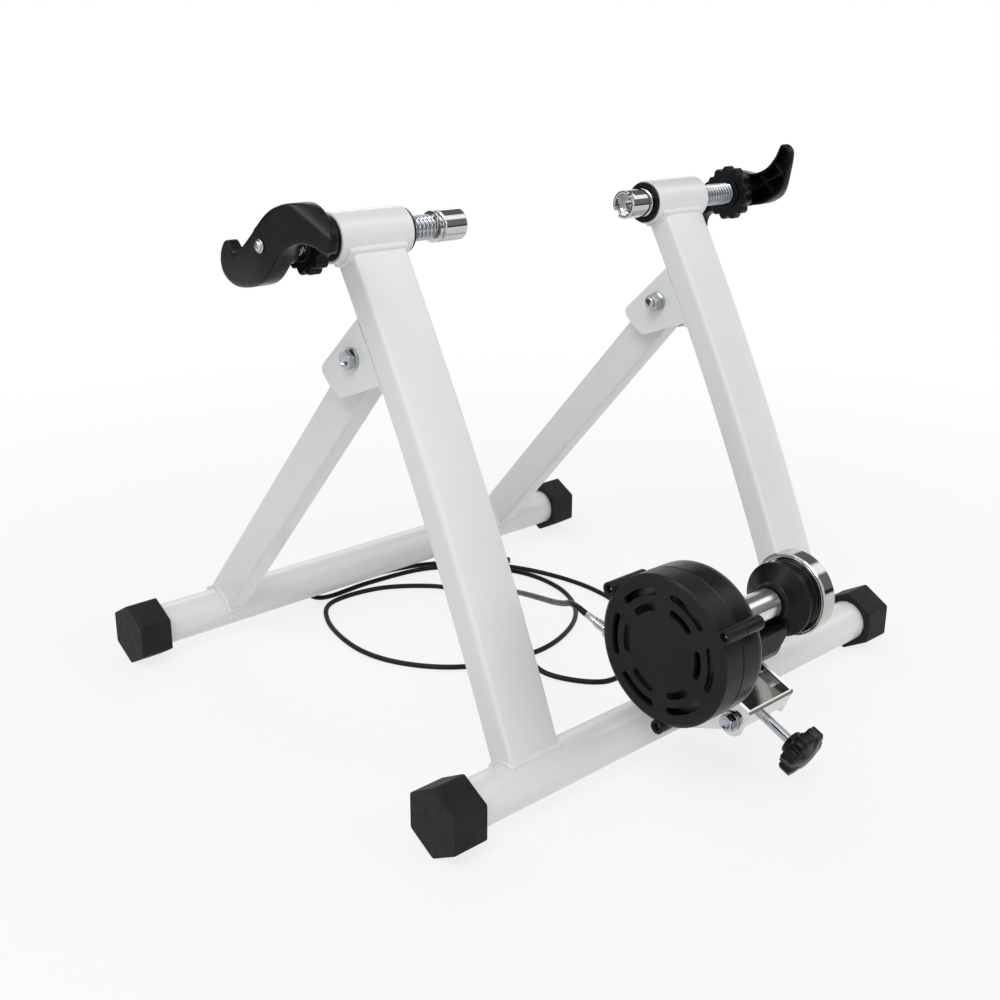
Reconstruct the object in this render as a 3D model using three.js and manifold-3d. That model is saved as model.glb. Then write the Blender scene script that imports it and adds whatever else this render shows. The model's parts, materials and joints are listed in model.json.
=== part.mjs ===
// Folding bicycle trainer stand with a magnetic resistance unit.
// Millimetres, +X along the wheel axle, -Y towards the resistance unit, +Z up.
import * as THREE from 'three';
import { mergeVertices } from 'three/addons/utils/BufferGeometryUtils.js';
import Module from 'manifold-3d';

const wasm = await Module();
wasm.setup();

// Driving dimensions

// clearances shared by all pieces
const touch_gap = 0.3;
const slide_gap = 0.5;
const cut_overrun = 3;

// ground bars and their feet
const bar_radius = 19;
const bar_wall = 1.6;
const bar_spacing = 428;
const front_bar_length = 545;
const rear_bar_length = 562;
const foot_corner_radius = 28.8;
const foot_edge_radius = 3;
const foot_length = 30.7;
const foot_end_wall = 4;

// uprights and axle sleeves
const side_spacing = 352;
const upright_width = 51;
const upright_depth = 24.5;
const upright_corner_radius = 4;
const upright_wall = 1.8;
const upright_bow = 9.9;
const axle_height = 411.7;
const axle_setback = 26.3;
const sleeve_radius = 19.3;
const sleeve_bore_radius = 16.5;
const sleeve_length = 67.3;
const sleeve_edge = 0.8;

// bushings in the sleeve ends
const bushing_flange_radius = 18.6;
const bushing_flange_thickness = 4.5;
const bushing_spigot_length = 14;
const bushing_recess_radius = 13.4;
const bushing_recess_depth = 4;
const bushing_edge = 1;

// threaded axle clamps
const rod_radius = 10;
const rod_spigot_radius = 6.5;
const rod_spigot_length = 8;
const cup_radius = 12.7;
const cup_length = 28;
const cup_bore_radius = 9.6;
const cup_bore_depth = 9;
const cup_step_radius = 5.5;
const cup_step_depth = 17;
const cup_groove_radius = 11.2;
const cup_groove_width = 2;
const cup_collar_length = 6;
const cup_edge = 0.9;
const cup_notch_width = 4.5;
const cup_notch_depth = 3.5;
const cup_notch_count = 4;
const left_cup_face = 83;
const right_cup_face = 113;
const clamp_length = 185.5;

// lock nuts
const nut_radius = 24.4;
const nut_lobe_height = 2.4;
const nut_lobe_count = 12;
const nut_thickness = 11;
const nut_hub_radius = 15;
const nut_hub_height = 2.5;
const left_nut_face = 234;
const right_nut_face = 260;

// S shaped handles
const wing_reach = 68;
const wing_width = 34;
const wing_sweep = 11;
const handle_depth = 16;
const handle_edge = 1.2;
const handle_wall = 2.8;
const handle_skin = 3;
const handle_rib = 2;
const handle_hub_radius = 15;
const handle_hub_length = 24.5;
const handle_crease_depth = 9;
const handle_crease_run = 19;
const handle_pad_radius = 9.5;
const screw_radius = 5.9;
const screw_head_height = 3.4;
const screw_shank_radius = 3.2;
const screw_shank_length = 9;
const right_handle_turn = THREE.MathUtils.degToRad(130);

// fold hinges between the uprights and the rear legs
const hinge_height = 322;
const hinge_reach = 37.31;
const bracket_size = 60;
const bracket_plate = 3;
const bracket_web = 2.5;
const bracket_web_height = 38;
const bracket_web_lean = 8;
const hinge_bolt_radius = 5;
const hinge_head_radius = 9.4;
const hinge_head_height = 6.4;
const hinge_nut_height = 8;
const hinge_bolt_tail = 3;
const hinge_washer_radius = 10;
const hinge_washer_thickness = 1.6;
const leg_depth = 35;
const leg_thickness = 20;
const leg_edge_radius = 3;
const leg_wall = 2;
const leg_lift = 3;
const spacer_radius = 9;

// resistance unit axis and housing
const unit_reach = 36.4;
const unit_rise = 95;
const housing_radius = 58.4;
const housing_back_step = 3.6;
const housing_wall = 2.6;
const housing_face_x = -111;
const housing_cover_depth = 20.5;
const housing_depth = 45;
const housing_edge = 2;
const housing_front_wall = 3;
const housing_back_wall = 4;
const screw_post_radius = 5.6;
const screw_post_standout = 3.6;
const screw_post_bore = 2.6;
const screw_post_bore_depth = 8;
const screw_post_start = THREE.MathUtils.degToRad(29);
const screw_post_count = 3;
const vent_margin = 13.1;
const vent_row_spacing = 11.7;
const vent_width = 5.6;
const vent_outer_sweep = THREE.MathUtils.degToRad(44);
const vent_inner_sweep = THREE.MathUtils.degToRad(38);
const vent_count = 6;
const vent_start = THREE.MathUtils.degToRad(-1);

// yoke below the roller and the bearing bell at its far end
const yoke_front_offset = 15.5;
const yoke_back_offset = 15.5;
const yoke_top_drop = 18;
const yoke_bottom_drop = 34.5;
const yoke_chamfer = 5;
const bell_neck_x = 18.8;
const bell_neck_radius = 15.4;
const bell_radius = 30.4;
const bell_cone_length = 10.4;
const bell_rim_width = 2.4;
const bell_wall = 2.6;
const strut_thickness = 4;

// roller, shaft, flywheel and rotor
const roller_radius = 12.9;
const roller_length = 82.5;
const roller_end_x = 17.6;
const roller_edge = 0.8;
const shaft_radius = 6;
const shaft_start_x = -105;
const shaft_end_x = 60;
const fan_step = 3.4;
const fan_length = 9.5;
const fan_groove_depth = 1.4;
const fan_groove_width = 1.6;
const fan_start_x = 33.2;
const flywheel_radius = 34.4;
const flywheel_start_x = 43.2;
const flywheel_length = 14.3;
const flywheel_rim = 9;
const flywheel_web = 6;
const flywheel_hub_radius = 11;
const flywheel_edge = 1;
const rotor_gap = 5.8;
const rotor_thickness = 2.4;
const rotor_x = -99.5;
const rotor_hub_radius = 10;
const rotor_hub_length = 6;
const magnet_ring_inner_radius = 20;
const magnet_ring_thickness = 4;
const magnet_ring_x = -88;
const magnet_radius = 7;
const magnet_height = 2.5;
const magnet_margin = 12;
const magnet_count = 6;

// white carrier on the front bar, with the cross pin and the swing pivot
const carrier_middle_x = 1.25;
const carrier_width = 57.5;
const carrier_plate = 3;
const carrier_tilt = THREE.MathUtils.degToRad(23);
const trunnion_reach = 71;
const trunnion_rise = 20.71;
const carrier_nose_radius = 13;
const carrier_top_rise = 11.2;
const carrier_rim = 4.5;
const carrier_nose_length = 8.5;
const carrier_flange_rise = 1.5;
const carrier_deck_length = 42;
const carrier_lip = 3;
const slot_width = 8;
const slot_length = 17;
const slot_inset = 3.5;
const slot_start = 2.5;
const trunnion_radius = 7.5;
const trunnion_barrel_length = 26;
const trunnion_pin_radius = 4;
const trunnion_head_radius = 7.6;
const trunnion_head_height = 6;
const trunnion_nut_height = 7;
const trunnion_washer_radius = 10.5;
const trunnion_washer_thickness = 1.5;
const pivot_run = 41;
const pivot_drop = 10;
const pivot_pin_radius = 4;

// swing arm under the yoke
const arm_boss_radius = 9;
const arm_start_x = -22;
const arm_end_x = 13.5;
const arm_shoulder_x = 24;
const arm_clearance = 4;
const arm_pad_half = 6;

// adjusting screw and star knob
const screw_line_x = 3.5;
const adjust_screw_radius = 4;
const adjust_screw_inner = 24;
const adjust_screw_outer = 55;
const adjust_screw_tip_radius = 1.8;
const adjust_screw_tip_length = 1.6;
const knob_radius = 20.8;
const knob_lobe_height = 4;
const knob_lobe_count = 6;
const knob_flute_height = 0.8;
const knob_flute_count = 24;
const knob_thickness = 11;
const knob_dome = 4;
const knob_hub_radius = 10;
const knob_hub_height = 6;

// control cable, its adjuster and the handlebar lever
const cable_radius = 2.5;
const adjuster_radius = 3.6;
const adjuster_length = 26;
const adjuster_x = -100;
const adjuster_tilt = THREE.MathUtils.degToRad(15);
const adjuster_nut_radius = 6;
const adjuster_nut_thickness = 4;
const adjuster_rise = -9.5;
const lever_body_radius = 14;
const lever_body_height = 16;
const lever_edge = 1;
const lever_hub_radius = 11.2;
const lever_boss_length = 3;
const lever_boss_radius = 4.2;
const lever_arm_length = 30;
const lever_arm_width = 11;
const lever_arm_thickness = 5;
const lever_clamp_inner_radius = 11.3;
const lever_clamp_outer_radius = 13.6;
const lever_clamp_width = 10;
const lever_x = 98;
const lever_y = 122;
const lever_turn = THREE.MathUtils.degToRad(52.3);
const lever_clamp_turn = THREE.MathUtils.degToRad(128);
const lever_rest_turn = THREE.MathUtils.degToRad(155);
const lever_entry_height = 8.6;

// Numbers of sides and steps
const round_sides = 24;
const fine_sides = 36;
const small_sides = 12;
const cable_sides = 8;
const cable_steps = 76;
const path_steps = 8;
const leg_end_steps = 12;
const search_steps = 40;

// Colours seen on the object
const white_paint = new THREE.MeshStandardMaterial({ color: 0xe9eae8, roughness: 0.35, metalness: 0.0 });
const black_plastic = new THREE.MeshStandardMaterial({ color: 0x232325, roughness: 0.55, metalness: 0.0 });
const grey_plastic = new THREE.MeshStandardMaterial({ color: 0x4b4b50, roughness: 0.5, metalness: 0.0 });
const black_rubber = new THREE.MeshStandardMaterial({ color: 0x1c1c1d, roughness: 0.8, metalness: 0.0 });
const zinc = new THREE.MeshStandardMaterial({ color: 0xc3c8ca, roughness: 0.3, metalness: 1.0 });
const chrome = new THREE.MeshStandardMaterial({ color: 0xdadcde, roughness: 0.12, metalness: 1.0 });
const brushed_steel = new THREE.MeshStandardMaterial({ color: 0xc9c9c6, roughness: 0.28, metalness: 1.0 });
const aluminium = new THREE.MeshStandardMaterial({ color: 0xcfd2d4, roughness: 0.35, metalness: 1.0 });

// Helpers for closed solids

function signed_volume(positions, index) {
  let volume = 0;
  for (let i = 0; i < index.length; i += 3) {
    const [a, b, c] = [index[i] * 3, index[i + 1] * 3, index[i + 2] * 3];
    volume += positions[a] * (positions[b + 1] * positions[c + 2] - positions[b + 2] * positions[c + 1]);
    volume += positions[a + 1] * (positions[b + 2] * positions[c] - positions[b] * positions[c + 2]);
    volume += positions[a + 2] * (positions[b] * positions[c + 1] - positions[b + 1] * positions[c]);
  }
  return volume;
}

// a closed mesh becomes a solid, with its faces turned outwards
function solid(geometry) {
  const bare = geometry.clone();
  for (const name of Object.keys(bare.attributes)) {
    if (name !== 'position') bare.deleteAttribute(name);
  }
  const merged = mergeVertices(bare);
  const positions = merged.attributes.position.array;
  const index = Array.from(merged.index.array);
  if (signed_volume(positions, index) < 0) {
    for (let i = 0; i < index.length; i += 3) {
      [index[i], index[i + 1]] = [index[i + 1], index[i]];
    }
  }
  const kept = [];
  for (let i = 0; i < index.length; i += 3) {
    const [a, b, c] = index.slice(i, i + 3);
    if (a !== b && b !== c && a !== c) kept.push(a, b, c);
  }
  return new wasm.Manifold(new wasm.Mesh({
    numProp: 3,
    vertProperties: new Float32Array(positions),
    triVerts: new Uint32Array(kept),
  }));
}

function surface(body) {
  const mesh = body.getMesh();
  const geometry = new THREE.BufferGeometry();
  geometry.setAttribute('position', new THREE.BufferAttribute(Float32Array.from(mesh.vertProperties), 3));
  geometry.setIndex(new THREE.BufferAttribute(Uint32Array.from(mesh.triVerts), 1));
  geometry.computeVertexNormals();
  return geometry;
}

function join(first, ...others) {
  return others.reduce((sum, next) => sum.add(next), first);
}

function cut(first, ...others) {
  return others.reduce((rest, next) => rest.subtract(next), first);
}

// a turned piece along +X from its profile of [place along X, radius]
function turned(profile, sides = round_sides) {
  const points = profile.map(([along, radius]) => new THREE.Vector2(radius, along));
  const geometry = new THREE.LatheGeometry(points, sides);
  geometry.rotateZ(-Math.PI / 2);
  return solid(geometry);
}

function rod_along_x(start, end, radius, sides = round_sides) {
  return turned([[start, 0], [start, radius], [end, radius], [end, 0]], sides);
}

function ring_along_x(start, end, outer, inner, sides = round_sides) {
  return turned([[start, outer], [end, outer], [end, inner], [start, inner], [start, outer]], sides);
}

// an outline of [along Y, along Z] pushed from start to end along +X
function pushed(outline, start, end, holes = []) {
  const shape = new THREE.Shape(outline.map(([y, z]) => new THREE.Vector2(y, z)));
  for (const hole of holes) {
    shape.holes.push(new THREE.Path(hole.map(([y, z]) => new THREE.Vector2(y, z))));
  }
  const geometry = new THREE.ExtrudeGeometry(shape, { depth: end - start, bevelEnabled: false });
  geometry.applyMatrix4(new THREE.Matrix4().makeBasis(
    new THREE.Vector3(0, 1, 0),
    new THREE.Vector3(0, 0, 1),
    new THREE.Vector3(1, 0, 0),
  ));
  geometry.translate(start, 0, 0);
  return solid(geometry);
}

// an outline of [x, y] pushed up by a height, with optional rounded rims
function raised(outline, height, holes = [], rim = 0) {
  const shape = new THREE.Shape(outline.map(([x, y]) => new THREE.Vector2(x, y)));
  for (const hole of holes) {
    shape.holes.push(new THREE.Path(hole.map(([x, y]) => new THREE.Vector2(x, y))));
  }
  const geometry = new THREE.ExtrudeGeometry(shape, {
    depth: height - 2 * rim,
    bevelEnabled: rim > 0,
    bevelSize: rim,
    bevelThickness: rim,
    bevelOffset: -rim,
    bevelSegments: 2,
  });
  geometry.translate(0, 0, rim);
  return solid(geometry);
}

function block(size_x, size_y, size_z, x, y, z) {
  const geometry = new THREE.BoxGeometry(size_x, size_y, size_z);
  geometry.translate(x, y, z);
  return solid(geometry);
}

function moved(body, matrix) {
  const geometry = surface(body);
  geometry.applyMatrix4(matrix);
  return solid(geometry);
}

function shifted(body, x, y, z) {
  return moved(body, new THREE.Matrix4().makeTranslation(x, y, z));
}

function spun_about_x(body, angle) {
  return moved(body, new THREE.Matrix4().makeRotationX(angle));
}

function circle_points(radius, sides = round_sides, middle_x = 0, middle_y = 0) {
  return Array.from({ length: sides }, (_, i) => {
    const angle = 2 * Math.PI * (i + 0.5) / sides;
    return [middle_x + radius * Math.cos(angle), middle_y + radius * Math.sin(angle)];
  });
}

// a polygon with its corners rounded
function rounded_polygon(corners, radius, steps = 2) {
  const points = [];
  corners.forEach((corner, i) => {
    const before = new THREE.Vector2(...corners[(i + corners.length - 1) % corners.length]);
    const after = new THREE.Vector2(...corners[(i + 1) % corners.length]);
    const here = new THREE.Vector2(...corner);
    const back = before.clone().sub(here).normalize();
    const forth = after.clone().sub(here).normalize();
    const half = Math.acos(THREE.MathUtils.clamp(back.dot(forth), -1, 1)) / 2;
    const middle = here.clone().add(back.clone().add(forth).normalize().multiplyScalar(radius / Math.sin(half)));
    const start = here.clone().addScaledVector(back, radius / Math.tan(half)).sub(middle);
    const finish = here.clone().addScaledVector(forth, radius / Math.tan(half)).sub(middle);
    const turn = start.angleTo(finish) * Math.sign(start.cross(finish));
    for (let step = 0; step <= steps; step += 1) {
      const point = start.clone().rotateAround(new THREE.Vector2(), turn * step / steps).add(middle);
      points.push([point.x, point.y]);
    }
  });
  return points;
}

function rounded_rectangle(width, height, radius, steps = 2) {
  const [x, y] = [width / 2, height / 2];
  return rounded_polygon([[-x, -y], [x, -y], [x, y], [-x, y]], radius, steps);
}

function smooth_outline(shares, size, count) {
  const curve = new THREE.CatmullRomCurve3(
    shares.map(([x, y]) => new THREE.Vector3(x * size, y * size, 0)), true, 'centripetal');
  return curve.getPoints(count).slice(0, count).map((point) => [point.x, point.y]);
}

// Places worked out from the driving dimensions

const trainer = new THREE.Group();
const front_y = -bar_spacing / 2;
const rear_y = bar_spacing / 2;
const foot_outline = rounded_polygon(
  Array.from({ length: 6 }, (_, i) => {
    const angle = Math.PI * (2 * i + 1) / 6;
    return [foot_corner_radius * Math.cos(angle), foot_corner_radius * Math.sin(angle)];
  }),
  foot_edge_radius,
  3,
);
const bar_height = Math.max(...foot_outline.map(([, z]) => z));
const side_x = side_spacing / 2;
const axle_y = -axle_setback;
const trunnion_y = front_y - trunnion_reach;
const trunnion_height = bar_height + trunnion_rise;
const pivot_y = trunnion_y + pivot_run;
const pivot_height = trunnion_height - pivot_drop;
const unit_y = pivot_y - unit_reach;
const unit_height = pivot_height + unit_rise;
const rotor_radius = housing_radius - housing_wall - rotor_gap;

const frame_group = new THREE.Group();
trainer.add(frame_group);

function add(parent, name, body, material) {
  const mesh = new THREE.Mesh(body.isBufferGeometry ? body : surface(body), material);
  mesh.name = name;
  parent.add(mesh);
  return mesh;
}

// Ground bars with their six sided feet

function ground_bar(parent, end_name, length, y) {
  const half = length / 2 - foot_end_wall - touch_gap;
  const bar = ring_along_x(-half, half, bar_radius, bar_radius - bar_wall);
  add(parent, `ground_bar_${end_name}`, shifted(bar, 0, y, bar_height), white_paint);
  for (const [side_name, side] of [['left', -1], ['right', 1]]) {
    const outer = side * length / 2;
    const inner = side * (length / 2 - foot_length);
    const floor = side * (length / 2 - foot_end_wall);
    const shell = pushed(foot_outline, Math.min(outer, inner), Math.max(outer, inner));
    const mouth = inner - side * cut_overrun;
    const bore = rod_along_x(Math.min(mouth, floor), Math.max(mouth, floor), bar_radius + touch_gap);
    add(parent, `foot_${end_name}_${side_name}`, shifted(cut(shell, bore), 0, y, bar_height), black_rubber);
  }
}

ground_bar(frame_group, 'front', front_bar_length, front_y);

// Uprights, bowed between the ground bar and the axle sleeves

const upright_foot = new THREE.Vector3(0, front_y, bar_height);
const upright_head = new THREE.Vector3(0, axle_y, axle_height);
const upright_control = upright_foot.clone().add(upright_head).multiplyScalar(0.5);
upright_control.y -= 2 * upright_bow;
const upright_path = new THREE.QuadraticBezierCurve3(upright_foot, upright_control, upright_head);

// the place along Y of the upright's middle line at a height
function upright_y_at(height) {
  let [low, high] = [0, 1];
  for (let i = 0; i < search_steps; i += 1) {
    const half = (low + high) / 2;
    if (upright_path.getPoint(half).z < height) low = half;
    else high = half;
  }
  return upright_path.getPoint(low).y;
}

const hinge_y = upright_y_at(hinge_height) + hinge_reach;

function upright_body(width, depth, wall) {
  const section = new THREE.Shape(
    rounded_rectangle(width, depth, upright_corner_radius).map(([x, y]) => new THREE.Vector2(x, y)));
  if (wall > 0) {
    const inside = rounded_rectangle(width - 2 * wall, depth - 2 * wall, upright_corner_radius - wall);
    section.holes.push(new THREE.Path(inside.map(([x, y]) => new THREE.Vector2(x, y))));
  }
  return solid(new THREE.ExtrudeGeometry(section, { steps: path_steps, extrudePath: upright_path }));
}

function sleeve_span(side) {
  const near = side * (side_x - sleeve_length / 2);
  const far = side * (side_x + sleeve_length / 2);
  return [Math.min(near, far), Math.max(near, far)];
}

const upright_shell = upright_body(upright_width, upright_depth, upright_wall);
const upright_space = upright_body(upright_width + 2 * touch_gap, upright_depth + 2 * touch_gap, 0);
const bar_space = shifted(
  rod_along_x(-upright_width, upright_width, bar_radius + touch_gap), 0, front_y, bar_height);
const sleeve_space = shifted(
  rod_along_x(-upright_width, upright_width, sleeve_radius + touch_gap), 0, axle_y, axle_height);
const upright_piece = cut(upright_shell, bar_space, sleeve_space);

for (const [side_name, side] of [['left', -1], ['right', 1]]) {
  add(frame_group, `upright_${side_name}`, shifted(upright_piece, side * side_x, 0, 0), white_paint);
  const [start, end] = sleeve_span(side);
  const sleeve = turned([
    [start + sleeve_edge, sleeve_radius],
    [end - sleeve_edge, sleeve_radius],
    [end, sleeve_radius - sleeve_edge],
    [end, sleeve_bore_radius],
    [start, sleeve_bore_radius],
    [start, sleeve_radius - sleeve_edge],
    [start + sleeve_edge, sleeve_radius],
  ]);
  add(frame_group, `sleeve_${side_name}`, shifted(sleeve, 0, axle_y, axle_height), white_paint);

  // a stepped bushing closes each end of the sleeve
  for (const [place, outward, face] of [['outer', side, side > 0 ? end : start],
    ['inner', -side, side > 0 ? start : end]]) {
    const seat = face + outward * touch_gap;
    const front = seat + outward * bushing_flange_thickness;
    const spigot = face - outward * bushing_spigot_length;
    const bore = rod_radius + slide_gap;
    const recess = front - outward * bushing_recess_depth;
    const profile = [
      [seat, bushing_flange_radius],
      [front - outward * bushing_edge, bushing_flange_radius],
      [front, bushing_flange_radius - bushing_edge],
      [front, bushing_recess_radius],
      [recess, bushing_recess_radius],
      [recess, bore],
      [spigot, bore],
      [spigot, sleeve_bore_radius - touch_gap],
      [seat, sleeve_bore_radius - touch_gap],
      [seat, bushing_flange_radius],
    ];
    const bushing = shifted(turned(profile), 0, axle_y, axle_height);
    add(frame_group, `bushing_${side_name}_${place}`, bushing, black_plastic);
  }
}

// Axle clamps: threaded rod, stepped cup, lock nut and S shaped handle

// the wing outline as seen from outside, from the neck round the tip and back
const wing_shares = [
  [-0.200, 0.090], [-0.100, 0.200], [0.030, 0.310], [0.200, 0.400], [0.370, 0.455], [0.560, 0.480],
  [0.760, 0.490], [0.900, 0.450], [0.985, 0.355], [1.010, 0.240], [0.975, 0.140], [0.890, 0.070],
  [0.770, 0.045], [0.630, 0.062], [0.500, 0.058], [0.395, 0.010], [0.300, -0.050],
];
const handle_shares = [...wing_shares, ...wing_shares.map(([p, q]) => [-p, -q])];
const handle_rib_shares = [0.42, 0.72];
const crease_start_shares = [0.40, 0.475];
const crease_end_shares = [1.04, 0.13];

function inset(outline, distance) {
  return outline.map((point, i) => {
    const before = outline[(i + outline.length - 1) % outline.length];
    const after = outline[(i + 1) % outline.length];
    const run = new THREE.Vector2(after[0] - before[0], after[1] - before[1]).normalize();
    return [point[0] + run.y * distance * -1 * winding(outline), point[1] + run.x * distance * winding(outline)];
  });
}

function winding(outline) {
  return Math.sign(THREE.ShapeUtils.area(outline.map(([x, y]) => new THREE.Vector2(x, y))));
}

// one wing is swept back along +p, so a shear turns height with distance from the axle
function swept(body, direction) {
  const slope = -wing_sweep / wing_reach * direction;
  const shear = new THREE.Matrix4().set(1, 0, 0, 0, 0, 1, 0, 0, slope, 0, 1, 0, 0, 0, 0, 1);
  return moved(body, shear);
}

// handle frame: x and y in the plane of the S, z outwards, the front face at zero
function handle_body() {
  const outline = smooth_outline(handle_shares, wing_reach, 44);
  const reach = wing_reach + cut_overrun * 2;
  const full = shifted(raised(outline, handle_depth, [], handle_edge), 0, 0, -handle_depth);
  const pocket_outline = inset(outline, handle_wall);
  const pocket_depth = handle_depth - handle_skin + cut_overrun;
  const pocket = shifted(raised(pocket_outline, pocket_depth), 0, 0, -handle_depth - cut_overrun);

  // the front is creased along a line and slopes back beyond it
  const start = new THREE.Vector2(...crease_start_shares).multiplyScalar(wing_reach);
  const end = new THREE.Vector2(...crease_end_shares).multiplyScalar(wing_reach);
  const run = end.clone().sub(start);
  const wedge_side = [
    [0, cut_overrun], [0, 0], [handle_crease_run, -handle_crease_depth], [handle_crease_run, cut_overrun],
  ];
  const wedge_length = run.length() + 2 * handle_crease_run;
  const across = new THREE.Vector3(-run.y, run.x, 0).normalize();
  const along = new THREE.Vector3(run.x, run.y, 0).normalize();
  const place = new THREE.Matrix4().makeBasis(across, new THREE.Vector3(0, 0, 1), along);
  const middle = start.clone().add(end).multiplyScalar(0.5);
  place.setPosition(middle.x, middle.y, 0);
  const wedge = moved(shifted(raised(wedge_side, wedge_length), 0, 0, -wedge_length / 2), place);
  const deep_wedge = shifted(wedge, 0, 0, -handle_skin);

  const wings = [];
  for (const direction of [1, -1]) {
    const turn = new THREE.Matrix4().makeRotationZ(direction > 0 ? 0 : Math.PI);
    const half = block(reach, 2 * reach, 4 * handle_depth, direction * reach / 2, 0, 0);
    const outer = cut(full, moved(wedge, turn));
    let inner = cut(pocket, moved(deep_wedge, turn));
    for (const share of handle_rib_shares) {
      const rib = block(handle_rib, 2 * reach, 4 * handle_depth, direction * share * wing_reach, 0, 0);
      inner = cut(inner, rib);
    }
    const long_rib = block(reach, handle_rib, 4 * handle_depth, direction * reach / 2,
      direction * wing_width / 2 / 2 + direction * handle_rib, 0);
    inner = cut(inner, long_rib);
    const whole_half = outer.intersect(half);
    const hollow_half = inner.intersect(half);
    wings.push(swept(cut(whole_half, hollow_half), direction));
  }
  const hub = shifted(raised(circle_points(handle_hub_radius, small_sides + 4), handle_hub_length - handle_skin), 0, 0,
    -handle_hub_length);
  const pad = shifted(raised(circle_points(handle_pad_radius, small_sides), handle_skin + touch_gap), 0, 0,
    -handle_skin);
  const socket_depth = handle_hub_length - handle_skin - cut_overrun;
  const socket = shifted(raised(circle_points(rod_radius + touch_gap), socket_depth + cut_overrun), 0, 0,
    -handle_hub_length - cut_overrun);
  const screw_hole = shifted(
    raised(circle_points(screw_shank_radius + touch_gap, small_sides), handle_depth + cut_overrun), 0, 0, -handle_depth);
  return cut(join(wings[0], wings[1], hub, pad), socket, screw_hole);
}

function nut_outline() {
  return Array.from({ length: nut_lobe_count * 6 }, (_, i) => {
    const angle = 2 * Math.PI * i / (nut_lobe_count * 6);
    const radius = nut_radius - nut_lobe_height / 2 * (1 - Math.cos(nut_lobe_count * angle));
    return [radius * Math.cos(angle), radius * Math.sin(angle)];
  });
}

const handle_piece = handle_body();
const socket_floor = handle_skin + cut_overrun;

for (const [side_name, side, cup_face, nut_face] of [
  ['left', -1, left_cup_face, left_nut_face],
  ['right', 1, right_cup_face, right_nut_face],
]) {
  // the clamp frame has its origin on the axle at the handle's front face, z outwards
  const clamp = new THREE.Group();
  const handle_face = side > 0 ? cup_face + clamp_length : -cup_face - clamp_length;
  const cup_x = side > 0 ? cup_face : -cup_face;
  clamp.matrixAutoUpdate = false;
  clamp.matrix.makeBasis(
    new THREE.Vector3(0, side, 0),
    new THREE.Vector3(0, 0, 1),
    new THREE.Vector3(side, 0, 0),
  );
  if (side > 0) clamp.matrix.multiply(new THREE.Matrix4().makeRotationZ(right_handle_turn));
  clamp.matrix.setPosition(handle_face, axle_y, axle_height);
  trainer.add(clamp);

  // lengths below run inwards from the handle's front face
  const to_z = (body) => {
    const geometry = surface(body);
    geometry.applyMatrix4(new THREE.Matrix4().makeRotationY(-Math.PI / 2));
    return solid(geometry);
  };
  const cup_root = -(clamp_length - cup_length);
  const rod_start = cup_root;
  const rod = join(
    to_z(rod_along_x(rod_start + touch_gap, -socket_floor - touch_gap, rod_radius)),
    to_z(rod_along_x(rod_start - rod_spigot_length + touch_gap, rod_start + cut_overrun, rod_spigot_radius)),
  );
  const rod_hole = to_z(rod_along_x(
    -socket_floor - screw_shank_length, -socket_floor + cut_overrun, screw_shank_radius + touch_gap, small_sides));
  add(clamp, `clamp_rod_${side_name}`, cut(rod, rod_hole), zinc);

  const rim = -clamp_length;
  const root = cup_root;
  const collar = root - cup_collar_length;
  const cup_outer = turned([
    [root, 0],
    [root, cup_radius - cup_edge],
    [root - cup_edge, cup_radius],
    [collar, cup_radius],
    [collar, cup_groove_radius],
    [collar - cup_groove_width, cup_groove_radius],
    [collar - cup_groove_width, cup_radius],
    [rim + cup_edge, cup_radius],
    [rim, cup_radius - cup_edge],
    [rim, 0],
  ]);
  const cup_bore = join(
    rod_along_x(rim - cut_overrun, rim + cup_bore_depth, cup_bore_radius),
    rod_along_x(rim, rim + cup_step_depth, cup_step_radius),
  );
  const cup_socket = rod_along_x(root - rod_spigot_length, root + cut_overrun, rod_spigot_radius + touch_gap);
  let cup = cut(cup_outer, cup_bore, cup_socket);
  for (let i = 0; i < cup_notch_count / 2; i += 1) {
    const notch = block(
      2 * cup_notch_depth, 2 * cup_radius + cut_overrun, cup_notch_width, rim, 0, 0);
    cup = cut(cup, spun_about_x(notch, 2 * Math.PI * i / cup_notch_count));
  }
  add(clamp, `axle_cup_${side_name}`, to_z(cup), chrome);
  add(clamp, `handle_${side_name}`, handle_piece, black_plastic);

  const screw_seat = touch_gap * 2;
  const screw = join(
    to_z(turned([
      [screw_seat, 0], [screw_seat, screw_radius], [screw_seat + screw_head_height / 2, screw_radius],
      [screw_seat + screw_head_height, screw_radius / 2], [screw_seat + screw_head_height, 0],
    ], small_sides)),
    to_z(rod_along_x(-socket_floor - screw_shank_length + cut_overrun, screw_seat + screw_head_height / 2,
      screw_shank_radius, small_sides)),
  );
  add(clamp, `handle_screw_${side_name}`, screw, chrome);

  // the lock nut sits on the rod between the handle and the sleeve
  const nut_place = nut_face - (side > 0 ? 0 : nut_thickness);
  const nut_body = join(
    pushed(nut_outline(), nut_place, nut_place + nut_thickness),
    rod_along_x(nut_place - nut_hub_height, nut_place + nut_thickness + nut_hub_height, nut_hub_radius),
  );
  const nut = cut(nut_body, rod_along_x(
    nut_place - nut_thickness, nut_place + 2 * nut_thickness, rod_radius + slide_gap));
  const nut_mesh = add(trainer, `lock_nut_${side_name}`, nut, black_plastic);
  nut_mesh.position.set(0, axle_y, axle_height);
  if (side < 0) nut_mesh.rotation.y = Math.PI;
}

// Hinge brackets behind the uprights

const cheek_shares = [
  [-0.133, 0.533], [0.640, -0.180], [0.672, -0.240], [0.655, -0.300], [0.600, -0.360], [0.500, -0.450],
  [0.420, -0.510], [0.350, -0.545], [0.283, -0.560], [0.200, -0.545], [-0.550, -0.250],
];

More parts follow.
